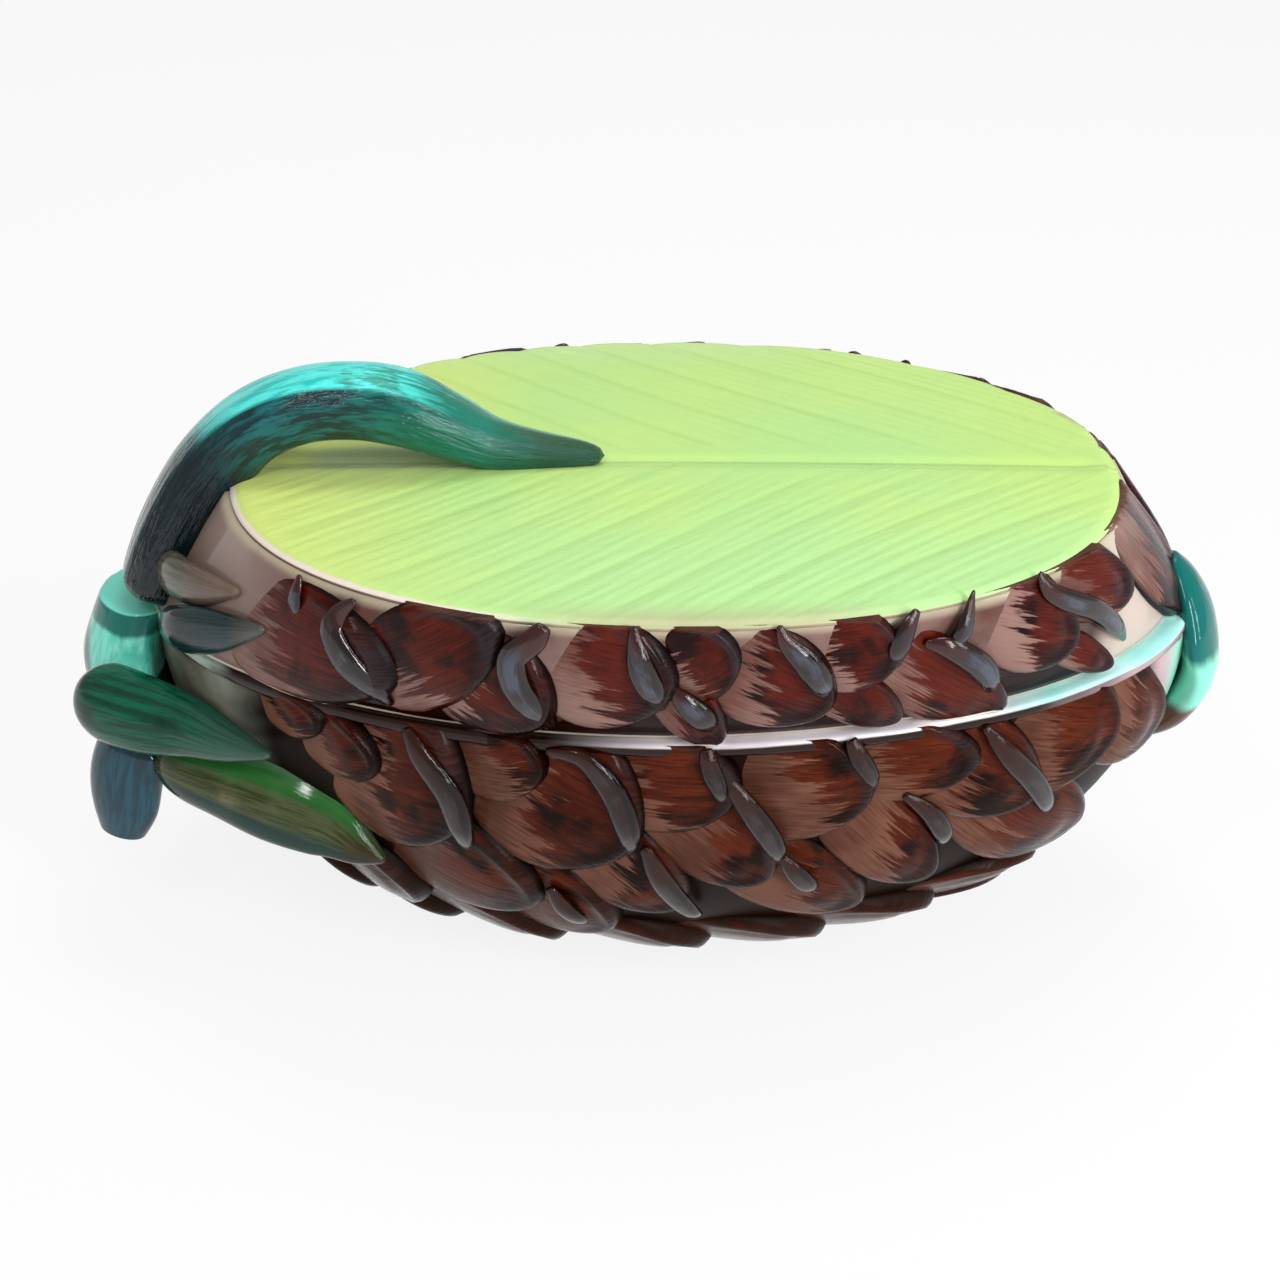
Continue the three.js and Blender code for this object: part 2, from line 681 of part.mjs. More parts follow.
// Handle stations: shares of the lid's half length along X and of the handle's rise over the lid
const handleLeaf = [
  { x: -1.19, up: -1.95, half: 1.6, thick: 1.35 },
  { x: -1.135, up: -1.02, half: 1.45, thick: 1.3 },
  { x: -1.055, up: -0.1, half: 1.2, thick: 1.2 },
  { x: -0.955, up: 0.6, half: 1.05, thick: 1.05 },
  { x: -0.84, up: 0.95, half: 1, thick: 1 },
  { x: -0.72, up: 1.04, half: 1, thick: 1 },
  { x: -0.61, up: 0.94, half: 1, thick: 1 },
  { x: -0.5, up: 0.64, half: 0.86, thick: 0.85 },
  { x: -0.38, up: 0.32, half: 0.62, thick: 0.65 },
  { x: -0.155, up: 0.15, half: 0.26, thick: 0.3 },
].map(({ x, up, half, thick }) => ({
  at: new THREE.Vector3(x * lidTopHalfLength, -1, lidTop + up * handleRise),
  spread: towards(0, 1, 0),
  half: half * handleHalfWidth,
  thick: thick * handleHalfThickness,
}));

// Station of a leaf on the lid's wall, in shares of the widest leaf's half width and thickness
function lidAt({ turn, rise, lift, half, thick }) {
  return {
    at: onLid(turn * degrees, rise, lift * lidLeafThickness),
    spread: towards(0, 0, 1),
    half: half * lidLeafHalfWidth,
    thick: thick * lidLeafThickness,
  };
}

// Leaves laid on the crown end of the lid, either side of the handle
const lidLowerLeaf = [
  { turn: 199, rise: 0.05, lift: 0, half: 0.7, thick: 0.9 },
  { turn: 205, rise: 0.14, lift: 0.4, half: 1, thick: 1 },
  { turn: 212, rise: 0.28, lift: 0.35, half: 0.9, thick: 0.8 },
  { turn: 220, rise: 0.46, lift: 0.2, half: 0.13, thick: 0.35 },
].map(lidAt);

const lidUpperLeaf = [
  { turn: 187, rise: 0.3, lift: 0, half: 0.7, thick: 0.9 },
  { turn: 194, rise: 0.38, lift: 0.4, half: 1, thick: 1 },
  { turn: 203, rise: 0.48, lift: 0.3, half: 0.85, thick: 0.75 },
  { turn: 212, rise: 0.62, lift: 0.2, half: 0.13, thick: 0.35 },
].map(lidAt);

// Glazes
const brownGlaze = { color: "#4a1c10", roughness: 0.16, metalness: 0 };
const ledgeGlaze = { color: "#e2cfc8", roughness: 0.2, metalness: 0 };
const footClay = { color: "#d9c9ae", roughness: 0.75, metalness: 0 };
const limeGlaze = { color: "#cfe864", roughness: 0.3, metalness: 0 };
const tealGlaze = { color: "#0b4c45", roughness: 0.14, metalness: 0 };
const oliveGlaze = { color: "#54683a", roughness: 0.18, metalness: 0 };
const mintGlaze = { color: "#8fe8cc", roughness: 0.18, metalness: 0 };
const slateGlaze = { color: "#34464c", roughness: 0.14, metalness: 0 };

function piece(name, solid, glaze) {
  const mesh = new THREE.Mesh(toGeometry(solid), new THREE.MeshStandardMaterial(glaze));
  mesh.name = name;
  return mesh;
}

// Base: bowl, ledge and foot, then the leaves laid on it, each cut by those before it
const base = new THREE.Group();
base.add(piece("base_bowl", baseBowl(), brownGlaze));
base.add(piece("gallery_rim", galleryRim(), ledgeGlaze));
base.add(piece("foot_ring", footRing(), footClay));

const flatLeaf = {};
const cuppedLeaf = { cup: 0.012 };
const baseLeaves = [
  ["crown_leaf_front_upper", upperLeaf, flatLeaf, tealGlaze],
  ["crown_leaf_front_lower", lowerLeaf, flatLeaf, oliveGlaze],
  ["crown_leaf_back_upper", mirrored(upperLeaf), flatLeaf, tealGlaze],
  ["crown_leaf_back_lower", mirrored(lowerLeaf), flatLeaf, oliveGlaze],
  ["crown_leaf_end", endLeaf, cuppedLeaf, mintGlaze],
  ["crown_leaf_hanging", hangingLeaf, flatLeaf, tealGlaze],
  ["stem_leaf", stemEndLeaf, cuppedLeaf, tealGlaze],
];
const lidLift = ovalPrism(grown(lidOval(0), lidScaleRise + lipRoll + gap), rimHeight, lidTop);
const overSeam = everythingAbove(rimHeight).intersect(everythingBelow(lidTop));
let baseKeepOut = baseBlock().add(lidLift);
for (const [name, stations, form, glaze] of baseLeaves) {
  const blank = blade(stations, form).subtract(baseKeepOut);
  const cut = name === "crown_leaf_end" ? blank.subtract(overSeam) : blank;
  base.add(piece(name, cut, glaze));
  baseKeepOut = baseKeepOut.add(blade(stations, { ...form, grow: gap }));
}

// Lid: wall, leaf panel, flange, handle and the leaves beside the handle
const lid = new THREE.Group();
lid.add(piece("lid_wall", lidWallRing(), brownGlaze));
lid.add(piece("lid_leaf_panel", leafPanel(), limeGlaze));
lid.add(piece("lid_flange", lidFlange(), ledgeGlaze));

const handleShape = { sides: 12, rings: 24, boxiness: 3, groove: 0.2 };
const panelTop = ovalPrism(grown(lidOval(1), gap), lidTop - gap, lidTop + panelCrown + gap);
let lidKeepOut = lidBlock(gap).add(panelTop).add(everythingBelow(lidRest + gap));
lid.add(piece("handle_leaf", blade(handleLeaf, handleShape).subtract(lidKeepOut), tealGlaze));
lidKeepOut = lidKeepOut.add(blade(handleLeaf, { ...handleShape, grow: gap }));
const lidLeaves = [
  ["lid_leaf_front_lower", lidLowerLeaf, slateGlaze],
  ["lid_leaf_front_upper", lidUpperLeaf, oliveGlaze],
  ["lid_leaf_back_lower", mirrored(lidLowerLeaf), slateGlaze],
  ["lid_leaf_back_upper", mirrored(lidUpperLeaf), oliveGlaze],
];
for (const [name, stations, glaze] of lidLeaves) {
  lid.add(piece(name, blade(stations, { rings: 10 }).subtract(lidKeepOut), glaze));
  lidKeepOut = lidKeepOut.add(blade(stations, { rings: 10, grow: gap }));
}

// Origin at the middle of the overall box, on the table
const dish = new THREE.Group();
dish.add(base, lid);
const bounds = new THREE.Box3().setFromObject(dish);
const middle = bounds.getCenter(new THREE.Vector3());
dish.position.set(-middle.x, -middle.y, -bounds.min.z);
dish.updateMatrixWorld(true);

export default dish;
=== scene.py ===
# Pineapple-shaped covered dish: painted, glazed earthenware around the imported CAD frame.
# Shapes are worked out in millimetres from the middle of the bowl's rim, then placed in metres.
import bisect
import math
import random

import bmesh
import bpy
from mathutils import Matrix, Vector


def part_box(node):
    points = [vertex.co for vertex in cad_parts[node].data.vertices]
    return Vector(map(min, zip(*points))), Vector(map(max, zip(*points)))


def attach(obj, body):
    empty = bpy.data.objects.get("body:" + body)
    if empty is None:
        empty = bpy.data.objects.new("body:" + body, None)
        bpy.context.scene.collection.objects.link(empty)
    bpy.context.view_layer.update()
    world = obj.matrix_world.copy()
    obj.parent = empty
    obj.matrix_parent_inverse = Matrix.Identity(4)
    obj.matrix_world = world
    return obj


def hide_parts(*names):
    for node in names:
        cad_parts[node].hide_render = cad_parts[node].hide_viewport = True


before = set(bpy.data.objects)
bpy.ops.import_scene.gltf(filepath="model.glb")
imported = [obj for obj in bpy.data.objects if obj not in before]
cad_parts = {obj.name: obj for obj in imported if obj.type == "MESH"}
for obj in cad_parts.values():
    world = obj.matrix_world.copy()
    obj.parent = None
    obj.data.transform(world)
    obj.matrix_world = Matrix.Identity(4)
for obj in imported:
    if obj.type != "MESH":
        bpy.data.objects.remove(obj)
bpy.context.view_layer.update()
print("frame loaded:", len(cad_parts), "nodes")

rimLow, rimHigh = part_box("gallery_rim")
rimX = (rimLow.x + rimHigh.x) / 2
toFrame = Matrix.Translation((rimX, 0, 0)) @ Matrix.Scale(0.001, 4)

bowl = {
    "rimHeight": 87, "halfLength": 131, "halfWidth": 78, "depth": 96,
    "rimFullness": 1.9, "keelFullness": 2.2,
    "openingShift": -2, "openingHalfLength": 120.5, "openingHalfWidth": 70,
    "floorHeight": 10.8, "wallTop": 83.6, "footTop": 4.3,
    "sink": 3.0, "segments": 96, "rings": 72,
}
lid = {
    "shift": -2.8, "rest": 87.3, "height": 34,
    "footHalfLength": 128.5, "footHalfWidth": 75, "footFullness": 1.9,
    "topHalfLength": 109, "topHalfWidth": 84.5, "topFullness": 2.15, "topShift": 3.3,
    "endBulge": 1.15, "sideBulge": 1.8, "wall": 6,
}
lidTop = lid["rest"] + lid["height"]


# Small helpers

def mix(a, b, t):
    return a + (b - a) * t


def smooth(low, high, value):
    t = min(1, max(0, (value - low) / (high - low)))
    return t * t * (3 - 2 * t)


def bell(value, width):
    return math.exp(-((value / width) ** 2))


def tint(code):
    channels = [int(code[i:i + 2], 16) / 255 for i in (1, 3, 5)]
    return (*[c / 12.92 if c <= 0.04045 else ((c + 0.055) / 1.055) ** 2.4 for c in channels], 1)


def taper(reach, fullness):
    return max(0, 1 - abs(reach) ** fullness) ** (1 / fullness)


# The fruit: length along its side from the middle, and girth from the front rim downwards

girthRadius = (bowl["halfWidth"] + bowl["depth"]) / 2
arcTable = [0.0]
for step in range(90):
    t = math.radians(step + 0.5)
    slope = math.hypot(bowl["halfLength"] * math.cos(t), girthRadius * math.sin(t))
    arcTable.append(arcTable[-1] + slope * math.radians(1))


def sideLength(along):
    angle = min(abs(math.degrees(along)), 89.999)
    step = int(angle)
    return math.copysign(mix(arcTable[step], arcTable[step + 1], angle - step), along)


def sideAngle(length):
    far = min(abs(length), arcTable[-1] - 0.01)
    step = min(89, bisect.bisect_right(arcTable, far) - 1)
    share = (far - arcTable[step]) / (arcTable[step + 1] - arcTable[step])
    return math.copysign(math.radians(step + share), length)


def scaleShare(length):
    return smooth(-124, -100, length) * (1 - smooth(126, 150, length))


def bareBowl(along, around):
    reach = math.sin(along)
    return Vector((
        reach * bowl["halfLength"],
        -bowl["halfWidth"] * taper(reach, bowl["rimFullness"]) * math.cos(around),
        bowl["rimHeight"] - bowl["depth"] * taper(reach, bowl["keelFullness"]) * math.sin(around),
    ))


def onBowl(along, around, lift=0.0):
    along = min(1.54, max(-1.54, along))
    nudge = 0.004
    ahead = bareBowl(along + nudge, around) - bareBowl(along - nudge, around)
    down = bareBowl(along, around + nudge) - bareBowl(along, around - nudge)
    out = down.cross(ahead).normalized()
    return bareBowl(along, around) + out * lift


def ovalPoint(turn, oval):
    bow = 2 / oval["fullness"]
    c, s = math.cos(turn), math.sin(turn)
    return Vector((
        oval["shift"] + oval["halfLength"] * math.copysign(abs(c) ** bow, c),
        oval["halfWidth"] * math.copysign(abs(s) ** bow, s),
    ))


def grown(oval, grow):
    return {**oval, "halfLength": oval["halfLength"] + grow, "halfWidth": oval["halfWidth"] + grow}


def ringPoint(turn, oval, grow, z):
    flat = ovalPoint(turn, grown(oval, grow))
    return Vector((flat.x, flat.y, z))


rimOval = {"shift": 0, "halfLength": bowl["halfLength"], "halfWidth": bowl["halfWidth"],
           "fullness": bowl["rimFullness"]}
openingOval = {"shift": bowl["openingShift"], "halfLength": bowl["openingHalfLength"],
               "halfWidth": bowl["openingHalfWidth"], "fullness": bowl["rimFullness"]}


def lidOval(rise):
    level = min(1, max(0, rise))
    return {
        "shift": lid["shift"] + lid["topShift"] * level,
        "halfLength": mix(lid["footHalfLength"], lid["topHalfLength"], level ** lid["endBulge"]),
        "halfWidth": mix(lid["footHalfWidth"], lid["topHalfWidth"], 1 - (1 - level) ** lid["sideBulge"]),
        "fullness": mix(lid["footFullness"], lid["topFullness"], level),
    }


def lidLevel(rise):
    return lid["rest"] + lid["height"] * rise


def onLid(turn, rise, lift=0.0):
    oval = lidOval(rise)
    out = Vector((math.cos(turn) / oval["halfLength"], math.sin(turn) / oval["halfWidth"], 0))
    return ringPoint(turn, oval, 0, lidLevel(rise)) + out.normalized() * lift


# Curves through a leaf's stations

def throughPoints(values, t):
    last = len(values) - 1
    at = min(last - 1e-6, max(0, t * last))
    i = int(at)
    u = at - i
    a, b = values[max(0, i - 1)], values[i]
    c, d = values[i + 1], values[min(last, i + 2)]
    return 0.5 * (2 * b + (c - a) * u + (2 * a - 5 * b + 4 * c - d) * u * u
                  + (3 * b - 3 * c + d - a) * u ** 3)


def newMesh(*names):
    bm = bmesh.new()
    for name in names:
        bm.verts.layers.float.new(name)
    return bm


def newBall(bm, sides, rings):
    return bmesh.ops.create_uvsphere(bm, u_segments=sides, v_segments=rings, radius=1)["verts"]


def newObject(name, data):
    thing = bpy.data.objects.new(name, data)
    bpy.context.scene.collection.objects.link(thing)
    return thing


def finishPiece(bm, name, body, material, replaced=()):
    bmesh.ops.remove_doubles(bm, verts=bm.verts, dist=0.002)
    bmesh.ops.recalc_face_normals(bm, faces=bm.faces)
    bmesh.ops.transform(bm, matrix=toFrame, verts=bm.verts)
    mesh = bpy.data.meshes.new(name)
    for face in bm.faces:
        face.smooth = True
    bm.to_mesh(mesh)
    bm.free()
    thing = newObject(name, mesh)
    for finish in (material if isinstance(material, list) else [material]):
        mesh.materials.append(finish)
    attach(thing, body)
    if replaced:
        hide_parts(*replaced)


# The new vertices and edges of an open edge that is drawn out
def extruded(bm, edges):
    geometry = bmesh.ops.extrude_edge_only(bm, edges=edges)["geom"]
    fresh = {g for g in geometry if isinstance(g, bmesh.types.BMVert)}
    return fresh, [g for g in geometry if isinstance(g, bmesh.types.BMEdge) and set(g.verts) <= fresh]


# A wall swept once round the dish: each point of its section is an oval, its growth and its height
def ringPiece(name, body, glaze, node, segments, section):
    bm = newMesh()
    start = bmesh.ops.create_circle(bm, cap_ends=False, segments=segments, radius=1)["verts"]
    turns = {v: math.atan2(v.co.y, v.co.x) for v in start}
    edges = first = list({e for v in start for e in v.link_edges})
    for v, turn in turns.items():
        v.co = ringPoint(turn, *section[0])
    for point in section[1:]:
        fresh, edges = extruded(bm, edges)
        moved = {}
        for v in fresh:
            below = next(e.other_vert(v) for e in v.link_edges if e.other_vert(v) in turns)
            moved[v] = turns[below]
        for v, turn in moved.items():
            v.co = ringPoint(turn, *point)
        turns = moved
    bmesh.ops.bridge_loops(bm, edges=first + edges)
    finishPiece(bm, name, body, glaze, [node])


def heading(spots, t):
    return (throughPoints(spots, min(1, t + 0.01)) - throughPoints(spots, max(0, t - 0.01))).normalized()


def squareTo(ahead, side):
    return (side - ahead * side.dot(ahead)).normalized()


def roundEnd(share):
    return math.sqrt(max(0, 1 - (1 - min(1, share)) ** 2))


# Root and tip are the shares of a leaf's length over which its ends are rounded
leafForm = {"root": 0.16, "tip": 0.04, "sides": 32, "rings": 56,
            "cupped": ("leaf_end", "leaf_stem"), "cup": 0.012}


# A leaf or horn: a ball drawn out along its stations
def addLeaf(bm, stations, sides, rings, section=None, root=0.05):
    ball = newBall(bm, sides, rings)
    spots = [Vector(s["at"]) for s in stations]
    spreads = [Vector(s["spread"]) for s in stations]
    sizes = [Vector((s["half"], s["thick"], 0)) for s in stations]
    marks = []
    known = {}
    for v in ball:
        t = math.acos(max(-1, min(1, v.co.z))) / math.pi
        flat = Vector((v.co.x, v.co.y))
        c, s = (flat.normalized() if flat.length > 1e-4 else Vector((0, 0)))
        ring = round(t * 2000)
        if ring not in known:
            ahead = heading(spots, t)
            side = squareTo(ahead, throughPoints(spreads, t))
            up = ahead.cross(side).normalized()
            known[ring] = throughPoints(spots, t), side, up, throughPoints(sizes, t)
        centre, side, up, (half, thick, _) = known[ring]
        across, tall = section(c, s) if section else (c, s)
        cap = roundEnd(t / root) * roundEnd((1 - t) / leafForm["tip"])
        across, tall = across * cap, tall * cap
        v.co = centre + side * (across * half) + up * (tall * thick)
        marks.append((v, t, across, tall))
    return marks


leafSpread = 50


def pastEnd(side, out, across, up):
    return Vector((side * (bowl["halfLength"] + leafSpread * out), leafSpread * across,
                   bowl["rimHeight"] + leafSpread * up))


def station(at, spread, half, thick):
    return {"at": at, "spread": spread, "half": half, "thick": thick}


def mirrored(stations):
    return [station(Vector((s["at"].x, -s["at"].y, s["at"].z)),
                    Vector((-s["spread"][0], s["spread"][1], -s["spread"][2])),
                    s["half"], s["thick"]) for s in stations]


# Glazes

class Wire:
    # A socket with the sums that a mask needs
    def __init__(self, glaze, socket):
        self.glaze = glaze
        self.socket = socket

    def sum(self, operation, other, flipped=False):
        values = [other, self] if flipped else [self, other]
        return self.glaze.add("ShaderNodeMath", {"operation": operation}, {0: values[0], 1: values[1]})

    def __add__(self, other):
        return self.sum("ADD", other)

    def __sub__(self, other):
        return self.sum("SUBTRACT", other)

    def __rsub__(self, other):
        return self.sum("SUBTRACT", other, True)

    def __mul__(self, other):
        return self.sum("MULTIPLY", other)

    __radd__, __rmul__ = __add__, __mul__

    # Noise laid to either side of nought
    def sway(self, amount):
        return (self - 0.5) * amount


class Nodes:
    # A material, with one way to add a node to it: whole, or as the wire of one output
    def __init__(self, name):
        self.material = bpy.data.materials.new(name)
        self.material.use_nodes = True
        self.tree = self.material.node_tree

    def node(self, kind, settings=None, sockets=None):
        made = self.tree.nodes.new(kind)
        for key, value in (settings or {}).items():
            setattr(made, key, value)
        for key, value in (sockets or {}).items():
            if isinstance(value, Wire):
                self.tree.links.new(value.socket, made.inputs[key])
            else:
                made.inputs[key].default_value = value
        return made

    def add(self, kind, settings=None, sockets=None, output=0):
        return Wire(self, self.node(kind, settings, sockets).outputs[output])


class Glaze(Nodes):
    # One painted finish, laid tone over tone by lay(), and its x starts at the rim's middle
    def __init__(self, name, roughness=0.1, shine=0.3):
        super().__init__(name)
        self.shader = next(n for n in self.tree.nodes if n.type == "BSDF_PRINCIPLED")
        self.shader.inputs["Roughness"].default_value = roughness
        self.shader.inputs["Specular IOR Level"].default_value = shine
        self.place = self.add("ShaderNodeTexCoord", output="Object")
        parts = self.node("ShaderNodeSeparateXYZ", sockets={0: self.place})
        x, self.y, self.z = [Wire(self, parts.outputs[i]) for i in range(3)]
        self.x = x - rimX

    def feed(self, socket, wire):
        self.tree.links.new(wire.socket, self.shader.inputs[socket])

    def ramp(self, value, low, high):
        return self.add("ShaderNodeMapRange", {"interpolation_type": "SMOOTHSTEP"},
                        {0: value, 1: low, 2: high, 3: 0.0, 4: 1.0})

    def marks(self, *names):
        return [self.add("ShaderNodeAttribute", {"attribute_name": n}, output="Fac") for n in names]

    def cloud(self, scale, detail=3.0, at=None, rough=0.5):
        return self.add("ShaderNodeTexNoise", {}, {
            "Vector": at or self.place, "Scale": scale, "Detail": detail, "Roughness": rough})

    # Noise drawn out by what it is laid along
    def brush(self, x, y, z, detail=3.0, rough=0.6):
        at = self.add("ShaderNodeCombineXYZ", {}, {0: x, 1: y, 2: z})
        return self.cloud(1.0, detail, at, rough)

    def paint(self, share, under, over):
        under = tint(under) if isinstance(under, str) else under
        over = tint(over) if isinstance(over, str) else over
        return self.add("ShaderNodeMix", {"data_type": "RGBA"}, {0: share, 6: under, 7: over}, output=2)

    # A tone over what is painted so far
    def lay(self, share, over):
        self.colour = self.paint(share, self.colour, over)

    def finish(self, height, strength, distance):
        bump = self.add("ShaderNodeBump", {}, {"Strength": strength, "Distance": distance, "Height": height})
        self.feed("Normal", bump)
        self.feed("Base Color", self.colour)
        return self.material


# Scales: brown strokes brushed in from the tip over a pale ground, with dark edges that are painted shade in
# the crevices and a slate lip that is partly a painted reflection
def scaleGlaze(name, colours):
    g = Glaze(name, roughness=0.1, shine=colours["shine"])
    along, across = g.marks("along", "across")
    tone, lip, skirt = g.marks("tone", "lip", "skirt")
    strokes = g.brush(along * 2.2 + tone * 31, across * 7 + along * 3, tone * 17, 4.0, 0.62)
    fine = g.brush(along * 4 + tone * 9, across * 26 + along * 8, tone * 5)
    wash = g.cloud(34.0, 3.0)
    start = along - across * 0.35 + strokes.sway(1.1) + fine.sway(0.5) + tone.sway(0.3)
    brown = g.ramp(start, colours["start"], colours["start"] + 0.12)
    ground = g.paint(g.ramp(wash + fine.sway(0.4), 0.35, 0.65), colours["pale"], colours["paleShade"])
    body = g.paint(g.ramp(fine + wash * 0.5, 0.55, 0.95), colours["brown"], colours["warm"])
    body = g.paint(g.ramp(g.cloud(90.0, 3.0) + fine.sway(0.4), 0.5, 0.68), body, colours["deep"])
    dark = g.ramp(along + across * 0.25 + strokes.sway(0.9), 0.66, 1.05)
    body = g.paint(dark, body, colours["deep"])
    g.colour = g.paint(brown, ground, body)
    # The lip is laid dark brown, then slate: the slate is partly the glaze's own grey and partly a painted
    # reflection
    slate = lip * g.ramp(wash + fine * 0.5, 0.62, 0.95) * 0.5
    g.lay(lip * 0.6, colours["deep"])
    g.lay(slate, colours["slate"])
    top = g.ramp(g.z + strokes.sway(0.004), colours["topLine"], colours["topLine"] + 0.001)
    # Near-black on the edge ring and the buried underside (the skirt) is painted shade in the crevices
    # between scales
    g.lay(skirt * (1 - top), colours["hollow"])
    g.lay(top * 0.75, colours["top"])
    # Where given, a darker tone towards the bottom of the bowl is painted shade
    if "low" in colours:
        low = 1 - g.ramp(g.z + wash.sway(0.01), 0.012, 0.045)
        g.lay(low * 0.6, colours["low"])
    if "foot" in colours:
        foot = g.ramp(g.z + wash.sway(0.0006), colours["footLine"], colours["footLine"] + 0.0004)
        g.lay(1 - foot, colours["foot"])
    g.feed("Roughness", g.ramp(wash, 0.3, 0.8) * 0.08 + skirt * 0.35 + 0.07)
    return g.finish(g.cloud(60.0, 3.0) + fine * 0.5 + strokes * 0.4, 0.35, 0.0008)


# In both scale glazes, hollow is painted shade in the crevices, slate is partly a painted reflection, and low
# (bowl only) is painted shade towards the bottom
baseScaleGlaze = scaleGlaze("base_scale_glaze", {
    "shine": 0.08, "topLine": 0.12, "top": "#3c1003",
    "start": 0.46, "pale": "#7a5040", "paleShade": "#512e22", "brown": "#3f1103", "warm": "#5e2510",
    "deep": "#160400", "slate": "#3f3537", "hollow": "#060100", "low": "#2c1103",
})
lidScaleGlaze = scaleGlaze("lid_scale_glaze", {
    "shine": 0.14, "topLine": (lidTop - 1.6) / 1000, "top": "#5a3527",
    "start": 0.3, "pale": "#937168", "paleShade": "#6c443b", "brown": "#3f0800", "warm": "#5e1b0c",
    "deep": "#1a0100", "slate": "#3f3c42", "hollow": "#0b0000",
    "footLine": (lid["rest"] + 0.4) / 1000, "foot": "#f3e6d8",
})


# Ribs between the scales: slate along the crest, partly the glaze's own grey and partly a painted reflection;
# nearly black down both sides and at the foot, which is painted shade; brown at the horn's tip
def ribGlaze(name, slate, slateShade, side, tip, shine):
    g = Glaze(name, roughness=0.1, shine=shine)
    along, across = g.marks("along", "across")
    fine = g.brush(along * 5, across * 6, 2.0)
    wash = g.cloud(120.0, 3.0)
    edge = g.ramp(across * across + fine.sway(0.7), 0.02, 0.3)
    crest = g.paint(g.ramp(wash + fine.sway(0.4), 0.42, 0.62), slate, slateShade)
    # The crest is laid slate and the flanks near-black: painted shade down both sides
    g.colour = g.paint(edge, crest, side)
    ends = 1 - g.ramp(along + fine.sway(0.3), 0.22, 0.42)
    g.lay(ends, tip)
    # The foot of the rib, where it sinks in, is laid near-black too: painted shade
    ends = g.ramp(along + fine.sway(0.3), 0.72, 0.95)
    g.lay(ends, side)
    return g.finish(wash + fine * 0.5, 0.3, 0.0006)


def bowlGlaze():
    g = Glaze("bowl_glaze", roughness=0.4, shine=0.06)
    wash = g.cloud(30.0, 4.0)
    fine = g.cloud(160.0, 3.0)
    # The near-black ground shows only in the gaps between the scales: painted shade
    g.colour = g.paint(g.ramp(wash, 0.3, 0.7), "#0e0200", "#241005")
    crown = 1 - g.ramp(g.x - wash.sway(0.05), -0.108, -0.09)
    crownTone = g.paint(g.ramp(wash + fine * 0.3, 0.4, 0.8), "#8d9488", "#5e5547")
    # Darker towards the bottom at the crown end, under the leaves: painted shade
    crownTone = g.paint(1 - g.ramp(g.z + wash.sway(0.01), 0.05, 0.062), crownTone, "#16241a")
    g.lay(crown, crownTone)
    stem = g.ramp(g.x + wash.sway(0.02), 0.114, 0.12)
    stemTone = g.paint(g.ramp(g.x + wash.sway(0.01), 0.12, 0.127), "#c9aeb2", "#9df0d8")
    # Darker towards the bottom at the stem end: painted shade
    stemTone = g.paint(1 - g.ramp(g.z, 0.035, 0.06), stemTone, "#6a6044")
    g.lay(stem, stemTone)
    # Darker still near the foot: painted shade
    g.lay(1 - g.ramp(g.z, 0.004, 0.02), "#1e0d05")
    return g.finish(wash + fine * 0.2, 0.2, 0.0005)


def insideGlaze():
    g = Glaze("inside_glaze", roughness=0.15)
    wash = g.cloud(24.0, 4.0)
    g.colour = g.paint(g.ramp(wash, 0.35, 0.7), "#eee3da", "#d8ded2")
    return g.finish(wash, 0.15, 0.0006)


def lidGlaze():
    g = Glaze("lid_glaze", shine=0.14)
    wash = g.cloud(28.0, 4.0)
    fine = g.cloud(150.0, 3.0)
    g.colour = g.paint(g.ramp(wash + fine.sway(0.3), 0.35, 0.7), "#8d7069", "#5f3c33")
    # The lower wall, seen between the lid's scales, is painted near-black: painted shade in the gaps
    dark = 1 - g.ramp(g.z + wash.sway(0.014), 0.094, 0.108)
    g.lay(dark, "#1c0501")
    ends = g.ramp(g.x + wash.sway(0.02), 0.096, 0.106)
    g.lay(ends, "#cdb9ae")
    crown = 1 - g.ramp(g.x - wash.sway(0.03), -0.1, -0.085)
    crownTone = g.paint(g.ramp(wash + fine.sway(0.3), 0.4, 0.65), "#8f766c", "#6f6659")
    crownTone = g.paint(g.ramp(g.z + wash.sway(0.02), 0.1, 0.12), crownTone, "#a68f87")
    g.lay(crown, crownTone)
    seam = 1 - g.ramp(g.z + wash.sway(0.0006), (lid["rest"] + 0.5) / 1000, (lid["rest"] + 0.8) / 1000)
    g.lay(seam, "#f3e6d8")
    top = g.ramp(g.z + wash.sway(0.003), 0.1165, 0.1195)
    g.lay(top * 0.7, "#cfc5a8")
    return g.finish(wash + fine * 0.2, 0.2, 0.0005)


